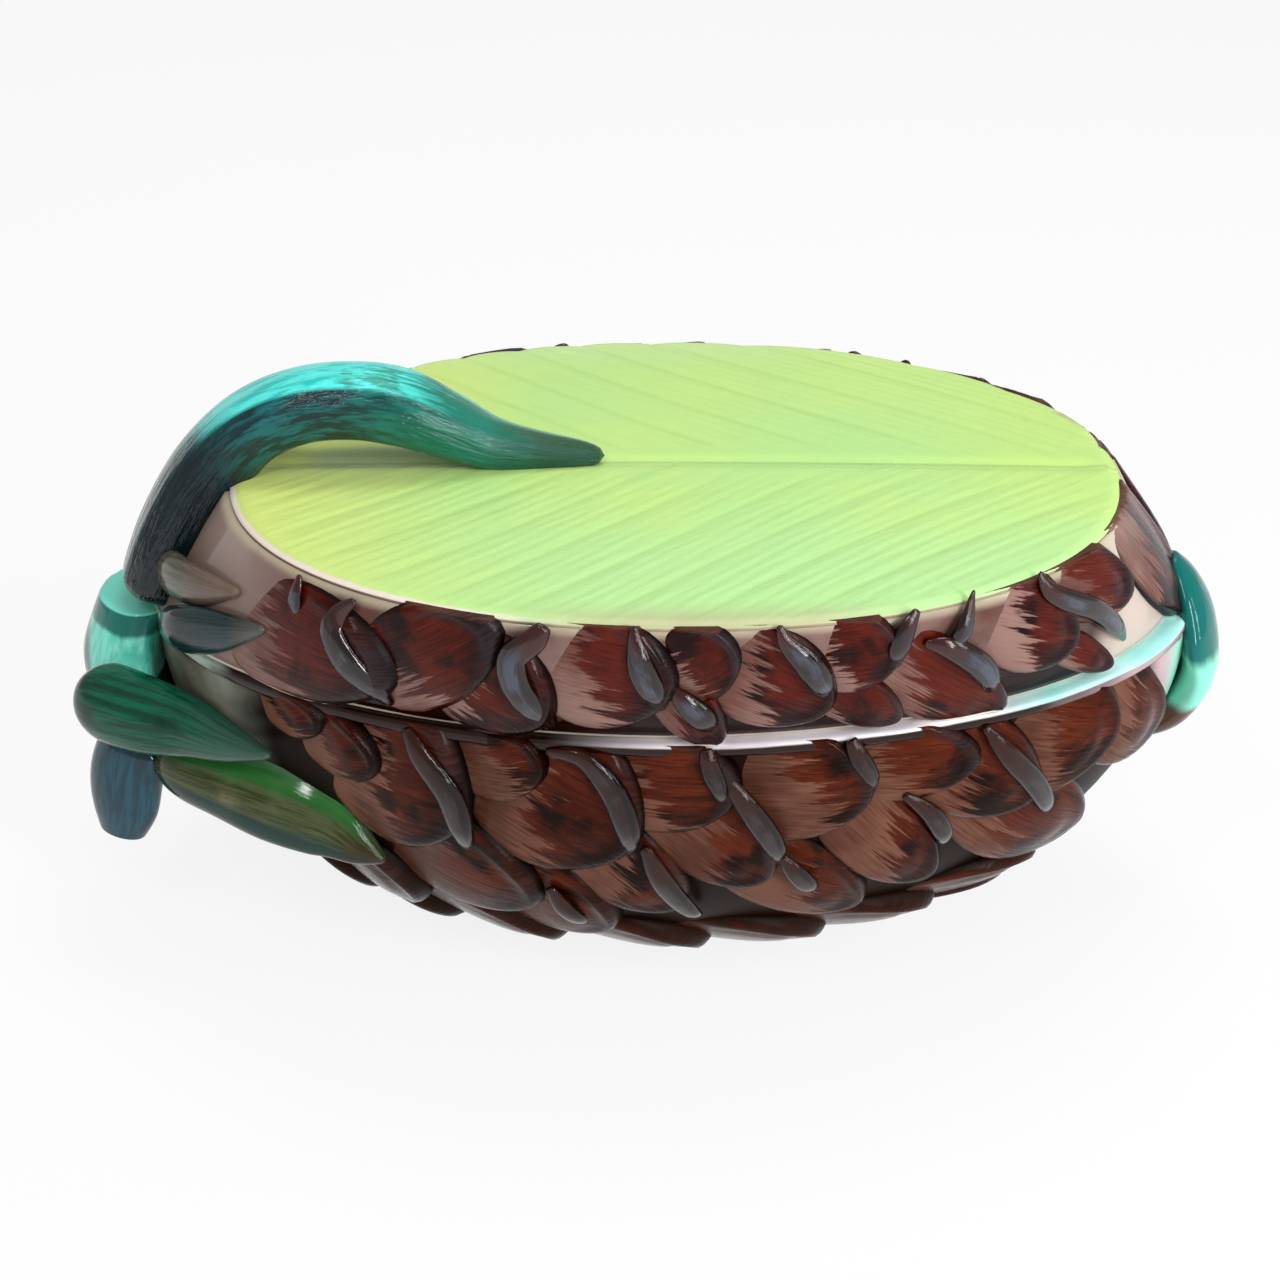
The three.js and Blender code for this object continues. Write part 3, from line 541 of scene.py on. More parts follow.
def ledgeGlaze():
    g = Glaze("ledge_glaze", roughness=0.1, shine=0.3)
    wash = g.cloud(40.0, 4.0)
    g.colour = g.paint(g.ramp(wash, 0.35, 0.7), "#f4ecee", "#dccdd6")
    mint = g.ramp(g.x + wash.sway(0.03), 0.06, 0.1)
    mintTone = g.paint(g.ramp(wash, 0.4, 0.8), "#c8fdf8", "#9ef2e8")
    g.lay(mint, mintTone)
    shaded = g.paint(g.ramp(g.x + wash.sway(0.03), 0.085, 0.115), "#200a04", "#b79aa0")
    # Left of the middle the ledge's top is painted dark brown: painted shade under the lid's overhanging
    # scales
    bare = g.ramp(g.x + wash.sway(0.012), -0.03, 0.004)
    crownEnd = 1 - g.ramp(g.x + wash.sway(0.01), -0.115, -0.105)
    g.lay(1 - bare, "#200a04")
    g.lay(crownEnd, "#c4d8c9")
    outer = 1 - g.ramp(g.z + wash.sway(0.0008), 0.0857, 0.0863)
    g.lay(outer * (1 - crownEnd), shaded)
    return g.finish(wash, 0.2, 0.0006)


def footGlaze():
    g = Glaze("foot_clay", roughness=0.75)
    wash = g.cloud(60.0, 4.0)
    g.colour = g.paint(g.ramp(wash, 0.3, 0.7), "#d8c8ac", "#b69c7a")
    return g.finish(g.cloud(300.0, 4.0), 0.4, 0.0003)


def panelGlaze():
    g = Glaze("panel_glaze", roughness=0.25, shine=0.1)
    wash = g.cloud(22.0, 3.0)
    fine = g.cloud(140.0, 3.0)
    edge, vein, lead, span = g.marks("edge", "vein", "lead", "span")
    brushed = g.brush(lead * 17, span * 4.5, 1.0, 4.0, 0.55)
    g.colour = g.paint(g.ramp(wash, 0.3, 0.7), "#cdf08f", "#c2ee96")
    left = 1 - g.ramp(g.x + wash.sway(0.05), -0.1, -0.03)
    g.lay(left * 0.8, "#e8f284")
    front = g.ramp(g.y * -1 + wash.sway(0.04), 0.01, 0.06) * g.ramp(g.x, -0.08, -0.01)
    g.lay(front * 0.7, "#bdf0a6")
    right = g.ramp(g.x + wash.sway(0.06), 0.06, 0.1) * (1 - g.ramp(g.y * -1, 0.01, 0.04))
    g.lay(right * 0.6, "#d2f084")
    back = g.ramp(g.y + wash.sway(0.03), 0.055, 0.085)
    g.lay(back * 0.5, "#d8f0a8")
    middle = g.ramp(g.x, -0.05, -0.01) * (1 - g.ramp(g.x, 0.04, 0.07))
    nearEdge = g.ramp(g.y * -1 + wash.sway(0.012), 0.072, 0.084)
    g.lay(nearEdge * middle * 0.8, "#c4b796")
    g.lay(g.ramp(brushed + fine.sway(0.1), 0.55, 0.75) * 0.16, "#a3d070")
    # A thin cream line along the front-left edge is a painted highlight
    rim = g.ramp(edge + fine.sway(0.008), 0.984, 0.992) * g.ramp(g.x + wash.sway(0.03), -0.02, -0.05)
    g.lay(rim, "#f7e9dc")
    notch = g.ramp(edge + fine.sway(0.03), 0.965, 0.985) * g.ramp(g.cloud(26.0, 2.0), 0.55, 0.6)
    g.lay(notch * g.ramp(g.y, 0.02, 0.04) * 0.85, "#7a5a3c")
    g.lay(vein * 0.25, "#9cc860")
    sideTone = g.paint(g.ramp(g.x, -0.06, -0.02), "#8d7069", "#b09c84")
    g.lay(g.ramp(edge, 1.1, 1.4), sideTone)
    # A greyish patch on the panel under the handle is painted shade and reflection of the handle
    handleShadeAndReflection = g.ramp(1 - (g.x + 0.072) * (g.x + 0.072) * 1300
                    - (g.y - 0.002) * (g.y - 0.002) * 9000 + wash.sway(0.9), 0.25, 0.9)
    g.lay(handleShadeAndReflection * 0.55, "#a9b9a6")
    g.feed("Roughness", g.ramp(wash, 0.3, 0.8) * 0.12 + 0.18)
    return g.finish(wash * 0.5 + fine * 0.1 + brushed * 0.5 + g.cloud(55.0, 4.0) * 0.6, 0.5, 0.0014)


# Leaves: strokes run along the blade, and each band of colour lies across it or along it
def leafGlaze(name, shades, bands=(), shine=0.35):
    g = Glaze(name, roughness=0.08, shine=shine)
    along, across = g.marks("along", "across")
    strokes = g.brush(along * 3, across * 6, 3.0, 4.0)
    fine = g.brush(along * 9, across * 24, 7.0)
    wash = g.cloud(60.0, 3.0)
    g.colour = g.paint(g.ramp(strokes + fine.sway(0.5), 0.38, 0.62), shades[0], shades[1])
    g.lay(g.ramp(wash + fine.sway(0.3), 0.52, 0.7), shades[2])
    reads = {"along": along, "across": across, "x": g.x, "z": g.z}
    for axis, low, high, share, tone in bands:
        reach = (high - low) * 0.9
        loose = strokes.sway(reach) + wash.sway(reach)
        g.lay(g.ramp(reads[axis] + loose, low, high) * share, tone)
    return g.finish(strokes * 0.5 + wash * 0.5, 0.35, 0.0008)


def handleGlaze():
    g = Glaze("handle_glaze", roughness=0.11, shine=0.5)
    along, across, tall, face = g.marks("along", "across", "tall", "face")
    strokes = g.brush(along * 9, across * 4 - along * 6, tall * 4, 4.0)
    fine = g.brush(along * 22, across * 12, tall * 12)
    wash = g.cloud(60.0, 3.0)
    top = g.paint(g.ramp(strokes + fine.sway(0.4), 0.46, 0.6), "#5cfaf0", "#00d6cb")
    top = g.paint(g.ramp(wash + fine.sway(0.6), 0.56, 0.68) * 0.8, top, "#07907a")
    # The pale crest over the back of the top is a painted highlight
    crest = g.ramp(across + strokes.sway(0.9), 0.2, 0.8)
    top = g.paint(crest * 0.6, top, "#a2fff6")
    top = g.paint(g.ramp(along + strokes.sway(0.3), 0.6, 0.76), top, "#037a66")
    top = g.paint(g.ramp(along + wash.sway(0.1), 0.84, 0.95), top, "#0a4f2c")
    rim = g.ramp(along, 0.72, 0.8) * g.ramp(across + fine.sway(0.4), 0.1, 0.5)
    top = g.paint(rim * 0.8, top, "#7fe8b4")
    leg = 1 - g.ramp(along + wash.sway(0.12) + across * 0.05, 0.22, 0.32)
    top = g.paint(leg, top, "#01343a")
    front = g.paint(g.ramp(strokes + fine.sway(0.5), 0.42, 0.62), "#002c30", "#036268")
    front = g.paint(g.ramp(along + strokes.sway(0.4), 0.5, 0.75) * 0.7, front, "#027562")
    front = g.paint(1 - g.ramp(along + wash.sway(0.1), 0.22, 0.4), front, "#00171d")
    front = g.paint(g.ramp(along + wash.sway(0.1), 0.84, 0.95) * 0.8, front, "#04402c")
    # The bright top and the dark front are partly the leaf's two-tone paint and partly painted light and
    # shade
    g.colour = g.paint(face, top, front)
    return g.finish(strokes * 0.8 + wash * 0.9 + fine * 0.2, 0.7, 0.0018)


print("glazes ready")


# Gives each vertex its marks, in the order of the layers that newMesh made
def setMarks(bm, marks):
    layers = bm.verts.layers.float.values()
    for v, *values in marks:
        for layer, value in zip(layers, values):
            v[layer] = value


# Bowl: the outer half of the fruit and the hollow, joined round the rim

def halfBall(bm, place):
    ball = newBall(bm, bowl["segments"], bowl["rings"])
    bmesh.ops.rotate(bm, verts=ball, cent=(0, 0, 0), matrix=Matrix.Rotation(math.pi / 2, 3, "Y"))
    edges, faces = {e for v in ball for e in v.link_edges}, {f for v in ball for f in v.link_faces}
    bmesh.ops.bisect_plane(bm, geom=[*ball, *edges, *faces], dist=1e-5,
                           plane_co=(0, 0, 0), plane_no=(0, 0, 1), clear_outer=True)
    kept = [v for v in ball if v.is_valid]
    kept = list({w for v in kept for e in v.link_edges for w in e.verts})
    for v in kept:
        along = math.asin(max(-1, min(1, v.co.x)))
        around = math.atan2(max(0, -v.co.z), -v.co.y) if math.hypot(v.co.y, v.co.z) > 1e-5 else math.pi / 2
        v.co = place(along, around)


def bowlOutside(along, around):
    point = onBowl(along, around, -bowl["sink"] * scaleShare(sideLength(along)))
    point.z = min(bowl["wallTop"], max(bowl["footTop"], point.z))
    return point


def bowlInside(along, around):
    reach = math.sin(along)
    depth = bowl["rimHeight"] - bowl["floorHeight"]
    height = bowl["rimHeight"] - depth * taper(reach, bowl["keelFullness"]) * math.sin(around)
    return Vector((
        bowl["openingShift"] + bowl["openingHalfLength"] * reach,
        -bowl["openingHalfWidth"] * taper(reach, bowl["rimFullness"]) * math.cos(around),
        min(bowl["wallTop"], height),
    ))


bm = newMesh()
halfBall(bm, bowlOutside)
outsideFaces = set(bm.faces)
halfBall(bm, bowlInside)
for face in bm.faces:
    face.material_index = 0 if face in outsideFaces else 1
openEdges = [e for e in bm.edges if e.is_boundary]
bmesh.ops.bridge_loops(bm, edges=openEdges)
finishPiece(bm, "bowl_wall", "base", [bowlGlaze(), insideGlaze()], ["base_bowl"])
print("bowl made")


# Scales of one side: degrees along the fruit, degrees down from the rim or rise on the lid,
# shares of a plain scale's length and width, and the tip's tilt downwards in degrees

bowlScales = [
    (-44, 5, 0.7, 0.6, -15), (-37, 9, 0.7, 0.8, -4), (-29, 13, 1, 1.8, 15), (-18, 5, 0.7, 0.8, -3),
    (-11, 13, 1.1, 1.5, 32), (0, 7, 0.9, 1, 5), (-22, 32, 1.1, 1.3, 15), (-4, 27, 0.9, 0.9, 44),
    (14, 9, 0.9, 1.1, 7), (5, 19, 1, 0.9, 46), (26, 7, 0.9, 0.8, 7), (34, 13, 1.3, 1, 44),
    (46, 13, 1.1, 1.5, 34), (23, 24, 1.3, 0.8, 55), (14, 31, 1.1, 0.9, 38), (42, 33, 2, 1.1, 60),
    (-12, 38, 0.9, 1.1, 20), (-35, 47, 0.9, 1.5, -2), (58, 18, 2.3, 1.1, 65),
]
underRows = [(54, (-20, -4, 9, 22, 36)), (68, (-44, -33, 33, 45))]
lidScales = [
    (-42, 0.41, 1.5, 1.1, 7), (-26, 0.62, 1.1, 1.1, -27), (-18, 0.38, 0.9, 1, 35), (-6, 0.56, 0.9, 1.1, 16),
    (3, 0.71, 0.5, 0.8, -18), (3, 0.24, 0.7, 0.5, 49), (11, 0.5, 1, 0.9, 31), (20, 0.71, 0.6, 0.8, 2),
    (21, 0.26, 0.7, 0.5, 31), (31, 0.29, 1.2, 0.8, 41), (44, 0.62, 0.8, 1, 29), (51, 0.24, 0.6, 0.4, 37),
    (57, 0.76, 0.9, 0.8, 21), (78, 0.56, 1.3, 1.1, 72),
]
scaleForm = {
    "halfLength": 15, "halfWidth": 15, "root": 0.3, "tip": 0.14, "bury": 1.5,
    "bowlRise": 1.6, "bowlSink": 3.4, "lidRise": 4.2, "lidTopRise": 1.8, "lidSink": 0.6,
    "roll": 1.3, "rollReach": 0.86, "rollWidth": 0.08, "rollTurn": -0.45, "rollSpan": 1.0,
    "segments": 40, "rings": 28,
}


def addScales(bm, places, onto, liftOf, seed, mirror):
    chance = random.Random(seed)
    marks = []
    for along, girth, long, wide, tilt in places:
        toneValue = chance.random()
        wobble = chance.uniform(0, 6.28)
        ball = newBall(bm, scaleForm["segments"], scaleForm["rings"])
        lean = math.radians(tilt)
        length = sideLength(math.radians(along))
        rootShift = scaleForm["root"] * long * scaleForm["halfLength"]
        longHalf = long * scaleForm["halfLength"] + rootShift
        wideHalf = wide * scaleForm["halfWidth"]
        for v in ball:
            reach = min(1, math.hypot(v.co.x, v.co.y))
            angle = math.atan2(v.co.y, v.co.x) if reach > 1e-4 else 0
            under = v.co.z < -1e-4
            shape = 1 + scaleForm["tip"] * bell(angle, 0.55) + 0.02 * math.sin(3 * angle + wobble)
            spread = reach * shape * (0.9 if under else 1)
            x, y = math.cos(angle) * spread, math.sin(angle) * spread
            ahead = x * longHalf - rootShift
            down = y * wideHalf
            spotLength = length + ahead * math.cos(lean) - down * math.sin(lean)
            spotGirth = girth + ahead * math.sin(lean) + down * math.cos(lean)
            lipTurn = bell(angle - scaleForm["rollTurn"], scaleForm["rollSpan"])
            rise, sink = liftOf(spotGirth)
            if under:
                lift = -sink - scaleForm["bury"]
            else:
                dome = smooth(-1, 0.75, x) * (1 - reach ** 6) ** 0.4
                roll = (scaleForm["roll"] * bell(reach - scaleForm["rollReach"], scaleForm["rollWidth"])
                        * lipTurn)
                crease = 0.5 * bell(reach - scaleForm["rollReach"] + 0.2, 0.08) * lipTurn
                lift = -sink + (rise + sink) * dome + roll - crease
            v.co = onto(spotLength, spotGirth, lift, mirror)
            lip = smooth(0.7, 0.8, reach) * (1 - smooth(0.94, 0.99, reach)) * smooth(0.25, 0.7, lipTurn)
            skirt = 1 if under else smooth(0.91, 0.985, reach)
            marks.append((v, (x + 1) / 2, y, toneValue, lip, skirt))
    setMarks(bm, marks)


def flipped(point, mirror):
    return Vector((point.x, -point.y, point.z)) if mirror else point


def ontoBowl(length, girth, lift, mirror=False):
    point = onBowl(sideAngle(length), girth / girthRadius, lift)
    point.z = min(bowl["rimHeight"] - 0.3, max(bowl["footTop"] + 0.1, point.z))
    return flipped(point, mirror)


def ontoLid(length, girth, lift, mirror=False):
    point = onLid(sideAngle(length) - math.pi / 2, -girth / lid["height"], lift)
    ceiling = lidTop - (1.3 if mirror else 0.7)
    point.z = max(lid["rest"] + 0.1, min(ceiling, point.z))
    return flipped(point, mirror)


def bowlLift(girth):
    return scaleForm["bowlRise"] * (1 - 0.5 * smooth(66, 92, girth)), scaleForm["bowlSink"]


def lidLift(girth):
    rise = min(1, max(0, -girth / lid["height"]))
    return mix(scaleForm["lidRise"], scaleForm["lidTopRise"], rise ** 2), scaleForm["lidSink"]


def bowlGirth(down):
    return math.radians(down) * girthRadius


def lidGirth(rise):
    return -rise * lid["height"]


bowlPlaces = [(along, bowlGirth(down), *form) for along, down, *form in bowlScales]
lidPlaces = [(along, lidGirth(rise), *form) for along, rise, *form in lidScales]
underPlaces = [(along, bowlGirth(down), 1.1, 1.1, 0) for down, alongs in underRows for along in alongs]
scaleMarks = ["along", "across", "tone", "lip", "skirt"]
for side, mirror in (("front", False), ("back", True)):
    bm = newMesh(*scaleMarks)
    addScales(bm, bowlPlaces, ontoBowl, bowlLift, 5, mirror)
    finishPiece(bm, "bowl_scales_" + side, "base", baseScaleGlaze)
    bm = newMesh(*scaleMarks)
    addScales(bm, lidPlaces, ontoLid, lidLift, 11, mirror)
    finishPiece(bm, "lid_scales_" + side, "lid", lidScaleGlaze)
bm = newMesh(*scaleMarks)
addScales(bm, underPlaces, ontoBowl, bowlLift, 23, False)
addScales(bm, underPlaces, ontoBowl, bowlLift, 29, True)
finishPiece(bm, "bowl_scales_under", "base", baseScaleGlaze)


# Ribs between the scales, from the horn at the tip down to the foot: degrees along the fruit,
# degrees down or rise on the lid, half width and lift in millimetres

bowlRibs = [
    [(-28, 1, 1.5, 0), (-26, 5, 3, 1.6), (-23, 11, 3.6, 2), (-22, 18, 3, 1.6), (-22, 25, 1, -1.5)],
    [(-13, 2, 1, 0), (-9, 2, 2.2, 1.6), (-6, 7, 3.2, 2), (-4.5, 14, 3, 1.8), (-4.5, 21, 1, -1.5)],
    [(3, 0, 1.4, 1), (3.5, 3, 2.4, 1.8), (4.5, 7, 2, 1.4), (5, 11, 0.8, -1.5)],
    [(-3, 18, 1.2, 0), (-1.5, 23, 2.8, 1.6), (0, 28, 3, 1.6), (2, 34, 2.2, 1), (3, 38, 0.8, -1.5)],
    [(-13, 30, 1.2, 0), (-11.5, 34, 2.6, 1.4), (-10, 38, 2.4, 1), (-9, 43, 0.8, -1.5)],
    [(5, 5, 1, 0), (7, 9, 2.6, 1.8), (9, 14, 3, 1.8), (10.5, 19, 2.4, 1.2), (11, 24, 0.8, -1.5)],
    [(17.5, 0, 1.4, 1), (18.5, 3, 2.4, 1.8), (20, 7, 2, 1.2), (20.5, 11, 0.8, -1.5)],
    [(11, 21, 1, 0), (12.5, 24, 2.4, 1.4), (14, 28, 2.6, 1.2), (15.5, 33, 0.8, -1.5)],
    [(33, 2, 1, 0), (36, 8, 2.6, 1.8), (40, 16, 3, 1.8), (43, 25, 2.4, 1.2), (45, 34, 0.8, -1.5)],
    [(24, 12, 1, 0), (27, 16, 2.4, 1.6), (29, 22, 2.4, 1.4), (30, 28, 0.8, -1.5)],
]
lidRibs = [
    [(-48.5, 0.96, 0.6, 2), (-47.5, 0.84, 1.7, 2.4), (-47, 0.74, 2, 1.6), (-46, 0.64, 0.8, 0)],
    [(-38, 0.93, 0.8, 2.4), (-39.5, 0.8, 2.4, 3), (-39, 0.66, 3.4, 4.6), (-35.5, 0.46, 3.8, 5),
     (-32, 0.28, 3, 3.6), (-30, 0.1, 1.2, 0.5)],
    [(-13.5, 0.99, 1.6, 3), (-14.5, 0.88, 3, 4), (-16.5, 0.74, 3.4, 4.4), (-16, 0.54, 3.6, 4.8),
     (-14, 0.32, 3.4, 4.6), (-12, 0.08, 1.4, 0.5)],
    [(-4.2, 1.01, 0.6, 2), (-3.8, 0.88, 2, 3), (-3, 0.7, 3.2, 4.6), (-1.6, 0.5, 3, 4.6), (-0.5, 0.3, 1, 0.5)],
    [(0, 0.52, 0.8, 1), (1.6, 0.42, 2.6, 4), (4, 0.26, 3.2, 4.8), (6, 0.08, 1.4, 0.5)],
    [(10, 1.0, 0.6, 2), (11, 0.88, 2, 3), (13.5, 0.72, 3.2, 4.6), (15.5, 0.54, 3, 4.6), (17.5, 0.32, 1, 0.5)],
    [(26.5, 1.01, 0.9, 2.6), (25, 0.9, 2.2, 3.4), (24, 0.74, 2.6, 3.6), (24.5, 0.56, 1, 0.5)],
    [(34.5, 1.06, 0.4, 2), (33.5, 0.92, 1.5, 2.8), (32, 0.76, 2.4, 3.6), (31, 0.6, 1, 0.5)],
    [(27.5, 0.72, 0.8, 1), (30.5, 0.68, 2.6, 4), (34, 0.5, 3.2, 4.8), (36, 0.3, 2.8, 4), (37, 0.1, 1, 0.5)],
    [(46, 1.04, 0.6, 2), (46.5, 0.9, 2, 3), (49, 0.78, 2.6, 3.8), (54, 0.6, 2.8, 4.2),
     (58, 0.36, 2.4, 3), (61, 0.14, 0.8, 0)],
]
ribForm = {"raise": 0.62, "lidLift": 0.68, "backTop": 0.93, "sides": 18, "rings": 34}


def addRibs(bm, ribs, onto, girthOf, mirror):
    onLidSide = girthOf is lidGirth
    marks = []
    for rib in ribs:
        rise = ribForm["lidLift"] if onLidSide else 1
        spots = [Vector((sideLength(math.radians(along)), girthOf(down), lift * rise))
                 for along, down, half, lift in rib]
        halves = [half for along, down, half, lift in rib]
        if mirror and onLidSide:
            spots = [Vector((s.x, max(s.y, lidGirth(ribForm["backTop"])), s.z)) for s in spots]
        count = 3 * (len(rib) - 1)
        laid = []
        for k in range(count + 1):
            spot = throughPoints(spots, k / count)
            at = onto(spot.x, spot.y, spot.z, mirror)
            out = onto(spot.x, spot.y, spot.z + 1, mirror) - onto(spot.x, spot.y, spot.z - 1, mirror)
            laid.append((at, out.normalized(), throughPoints(halves, k / count)))
        stations = []
        for k, (at, out, half) in enumerate(laid):
            ahead = laid[min(k + 1, count)][0] - laid[max(k - 1, 0)][0]
            stations.append(station(at, out.cross(ahead.normalized()), half, half * ribForm["raise"]))
        for v, t, across, tall in addLeaf(bm, stations, ribForm["sides"], ribForm["rings"]):
            marks.append((v, t, across))
    setMarks(bm, marks)


def ontoRib(length, girth, lift, mirror=False):
    return flipped(onLid(sideAngle(length) - math.pi / 2, -girth / lid["height"], lift), mirror)


bowlRibGlaze = ribGlaze("bowl_rib_glaze", "#332a2b", "#260f08", "#120301", "#2c0d04", 0.35)
lidRibGlaze = ribGlaze("lid_rib_glaze", "#3c4250", "#241216", "#140200", "#330a04", 0.6)
for side, mirror in (("front", False), ("back", True)):
    bm = newMesh("along", "across")
    addRibs(bm, bowlRibs, ontoBowl, bowlGirth, mirror)
    finishPiece(bm, "bowl_ribs_" + side, "base", bowlRibGlaze)
    bm = newMesh("along", "across")
    addRibs(bm, lidRibs, ontoRib, lidGirth, mirror)
    finishPiece(bm, "lid_ribs_" + side, "lid", lidRibGlaze)
print("scales made")


# Ledge that the lid sits on

ledge = {"top": bowl["rimHeight"], "low": bowl["rimHeight"] - 3.2, "segments": 192}
ringPiece("ledge_rim", "base", ledgeGlaze(), "gallery_rim", ledge["segments"], [
    (rimOval, -0.3, ledge["low"]), (rimOval, -0.05, ledge["low"] + 0.6),
    (rimOval, 0, mix(ledge["low"], ledge["top"], 0.5)), (rimOval, -0.15, ledge["top"] - 0.5),
    (rimOval, -0.9, ledge["top"]), (openingOval, 0.8, ledge["top"]), (openingOval, 0.1, ledge["top"] - 0.6),
    (openingOval, 0, ledge["low"] + 0.4), (openingOval, 0.3, ledge["low"]),
])


# Foot

foot = {"height": 4.6, "width": 8, "segments": 128,
        "oval": {"shift": 0, "halfLength": 56, "halfWidth": 29, "fullness": 2}}
ringPiece("foot", "base", footGlaze(), "foot_ring", foot["segments"], [
    (foot["oval"], grow, z) for grow, z in (
        (0, foot["height"]), (-0.2, 1.6), (-1.4, 0.2), (-2.4, 0), (-foot["width"] + 2.4, 0),
        (-foot["width"] + 1.2, 0.4), (-foot["width"], 2.2), (-foot["width"], foot["height"]))
])
print("ledge and foot made")


# Lid wall: up the outside to just under the panel, and down the inside

lidWall = {"levels": 14, "topGap": 1.8, "lip": -5.2, "segments": 192}
lidOutside = [(0, k / lidWall["levels"] * (1 - lidWall["topGap"] / lid["height"]))
              for k in range(lidWall["levels"] + 1)]
lidInside = [(lidWall["lip"], 0.947), (lidWall["lip"], 0.85), (-lid["wall"] * 1.9, 0.84),
             (-lid["wall"] * 1.3, 0.4), (-lid["wall"], 0.15), (-lid["wall"] - 0.5, 0)]
ringPiece("lid_wall_ring", "lid", lidGlaze(), "lid_wall", lidWall["segments"], [
    (lidOval(rise), grow, lidLevel(rise)) for grow, rise in lidOutside + lidInside])


# Flange under the lid

flange = {"outer": -1.4, "inner": -6.9, "low": lid["rest"] - 7, "top": lid["rest"] + 5, "segments": 160}
ringPiece("flange", "lid", insideGlaze(), "lid_flange", flange["segments"], [
    (openingOval, flange[edge] + grow, z) for edge, grow, z in (
        ("outer", 0, flange["top"]), ("outer", 0, flange["low"] + 1), ("outer", -0.4, flange["low"] + 0.3),
        ("outer", -1.2, flange["low"]), ("inner", 1.2, flange["low"]), ("inner", 0.4, flange["low"] + 0.3),
        ("inner", 0, flange["low"] + 1), ("inner", 0, flange["top"]))
])
print("lid wall made")


# Leaf panel: midrib, veins that meet it, and a lobed edge

panel = {
    "crown": 1.2, "edgeHeight": 1.8, "plugDepth": 5, "plugInset": 5.2,
    "lobeDepth": 2.4, "veinPitch": 24, "veinSlope": 1.14,
    "veinDepth": 0.22, "midribDepth": 0.8, "midribWidth": 2.6, "columns": 220, "rows": 170,
}


def panelVein(x, y):
    lead = x + panel["veinSlope"] * abs(y + 1) + 5 * math.sin(x / 31 + (1.7 if y > -1 else 0))
    phase = lead / panel["veinPitch"]
    return (phase - math.floor(phase) - 0.5) * panel["veinPitch"]


bm = newMesh("edge", "vein", "lead", "span")
bmesh.ops.create_grid(bm, x_segments=panel["columns"], y_segments=panel["rows"], size=1)
marks = []
topOval = lidOval(1)
middle = Vector((topOval["shift"], 0))
centred = {**topOval, "shift": 0}
for v in bm.verts:
    sx, sy = v.co.x, v.co.y
    u, w = sx * math.sqrt(1 - sy * sy / 2), sy * math.sqrt(1 - sx * sx / 2)
    reach = min(1, math.hypot(u, w))
    turn = math.atan2(w, u)
    rimPoint = ovalPoint(turn, centred)
    off = panelVein(rimPoint.x, rimPoint.y)
    lobe = math.sqrt(abs(math.cos(math.pi * off / panel["veinPitch"])))
    pull = 1 - panel["lobeDepth"] * (1 - lobe) * smooth(-5, 30, rimPoint.y) * reach ** 12 / rimPoint.length
    x, y = rimPoint.x * reach * pull, rimPoint.y * reach * pull
    off = panelVein(x, y)
    midrib = bell(y + 1, panel["midribWidth"]) * smooth(1, 0.9, reach)
    away = abs(abs(off) - panel["veinPitch"] / 2)
    strength = smooth(0.0, 0.25, abs(y + 1) / 80) * smooth(1.02, 0.86, reach)
    vein = bell(away, 2.2) * strength
    feather = 0.08 * math.sin(off * 1.25 + y * 0.12) * strength * smooth(2, 7, away)
    height = (lidTop + panel["crown"] * (1 - reach ** 2) - panel["midribDepth"] * midrib
              - panel["veinDepth"] * vein + feather - 0.9 * smooth(0.965, 1, reach) ** 2)
    v.co = Vector((x + topOval["shift"], y, height))
    lead = x + panel["veinSlope"] * abs(y + 1)
    mark = vein * bell(away, 1.1) + midrib * 0.4
    marks.append((v, reach, mark, lead / 100 + (0 if y > -1 else 5), abs(y + 1) / 100))
setMarks(bm, marks)
rimEdges = [e for e in bm.edges if e.is_boundary]
edgeLayer = bm.verts.layers.float["edge"]
underEdge = lidTop - panel["edgeHeight"]
for inset, z in ((0, underEdge), (panel["plugInset"], underEdge),
                 (panel["plugInset"], lidTop - panel["plugDepth"])):
    fresh, rimEdges = extruded(bm, rimEdges)
    for v in fresh:
        v[edgeLayer] = 2
        flat = Vector((v.co.x, v.co.y)) - middle
        if inset:
            turn = math.atan2(flat.y / topOval["halfWidth"], flat.x / topOval["halfLength"])
            flat = flat.normalized() * ovalPoint(turn, grown(centred, -inset)).length
        v.co = Vector((flat.x + middle.x, flat.y, z))
bmesh.ops.edgeloop_fill(bm, edges=rimEdges)
finishPiece(bm, "leaf_panel", "lid", panelGlaze(), ["lid_leaf_panel"])
print("leaf panel made")


# Handle: a folded leaf with a sharp crease along its front

handle = {"rise": 17, "halfWidth": 11.8, "halfThickness": 7.8, "sides": 72, "rings": 110,
          "frontAcross": -0.73, "creaseTall": 0.81, "underTall": -0.3}
handleShares = [
    (-1.19, -1.95, 1.6, 1.35), (-1.135, -1.02, 1.45, 1.3), (-1.055, -0.1, 1.2, 1.2),
    (-0.955, 0.6, 1.05, 1.05), (-0.84, 0.95, 1, 1), (-0.72, 1.04, 1, 1), (-0.61, 0.94, 1, 1),
    (-0.5, 0.64, 0.86, 0.85), (-0.38, 0.32, 0.62, 0.65), (-0.155, 0.15, 0.26, 0.3),
]
handleStations = [
    station(Vector((x * lid["topHalfLength"], -1, lidTop + up * handle["rise"])), Vector((0, 1, 0)),
            half * handle["halfWidth"], thick * handle["halfThickness"])
    for x, up, half, thick in handleShares
]
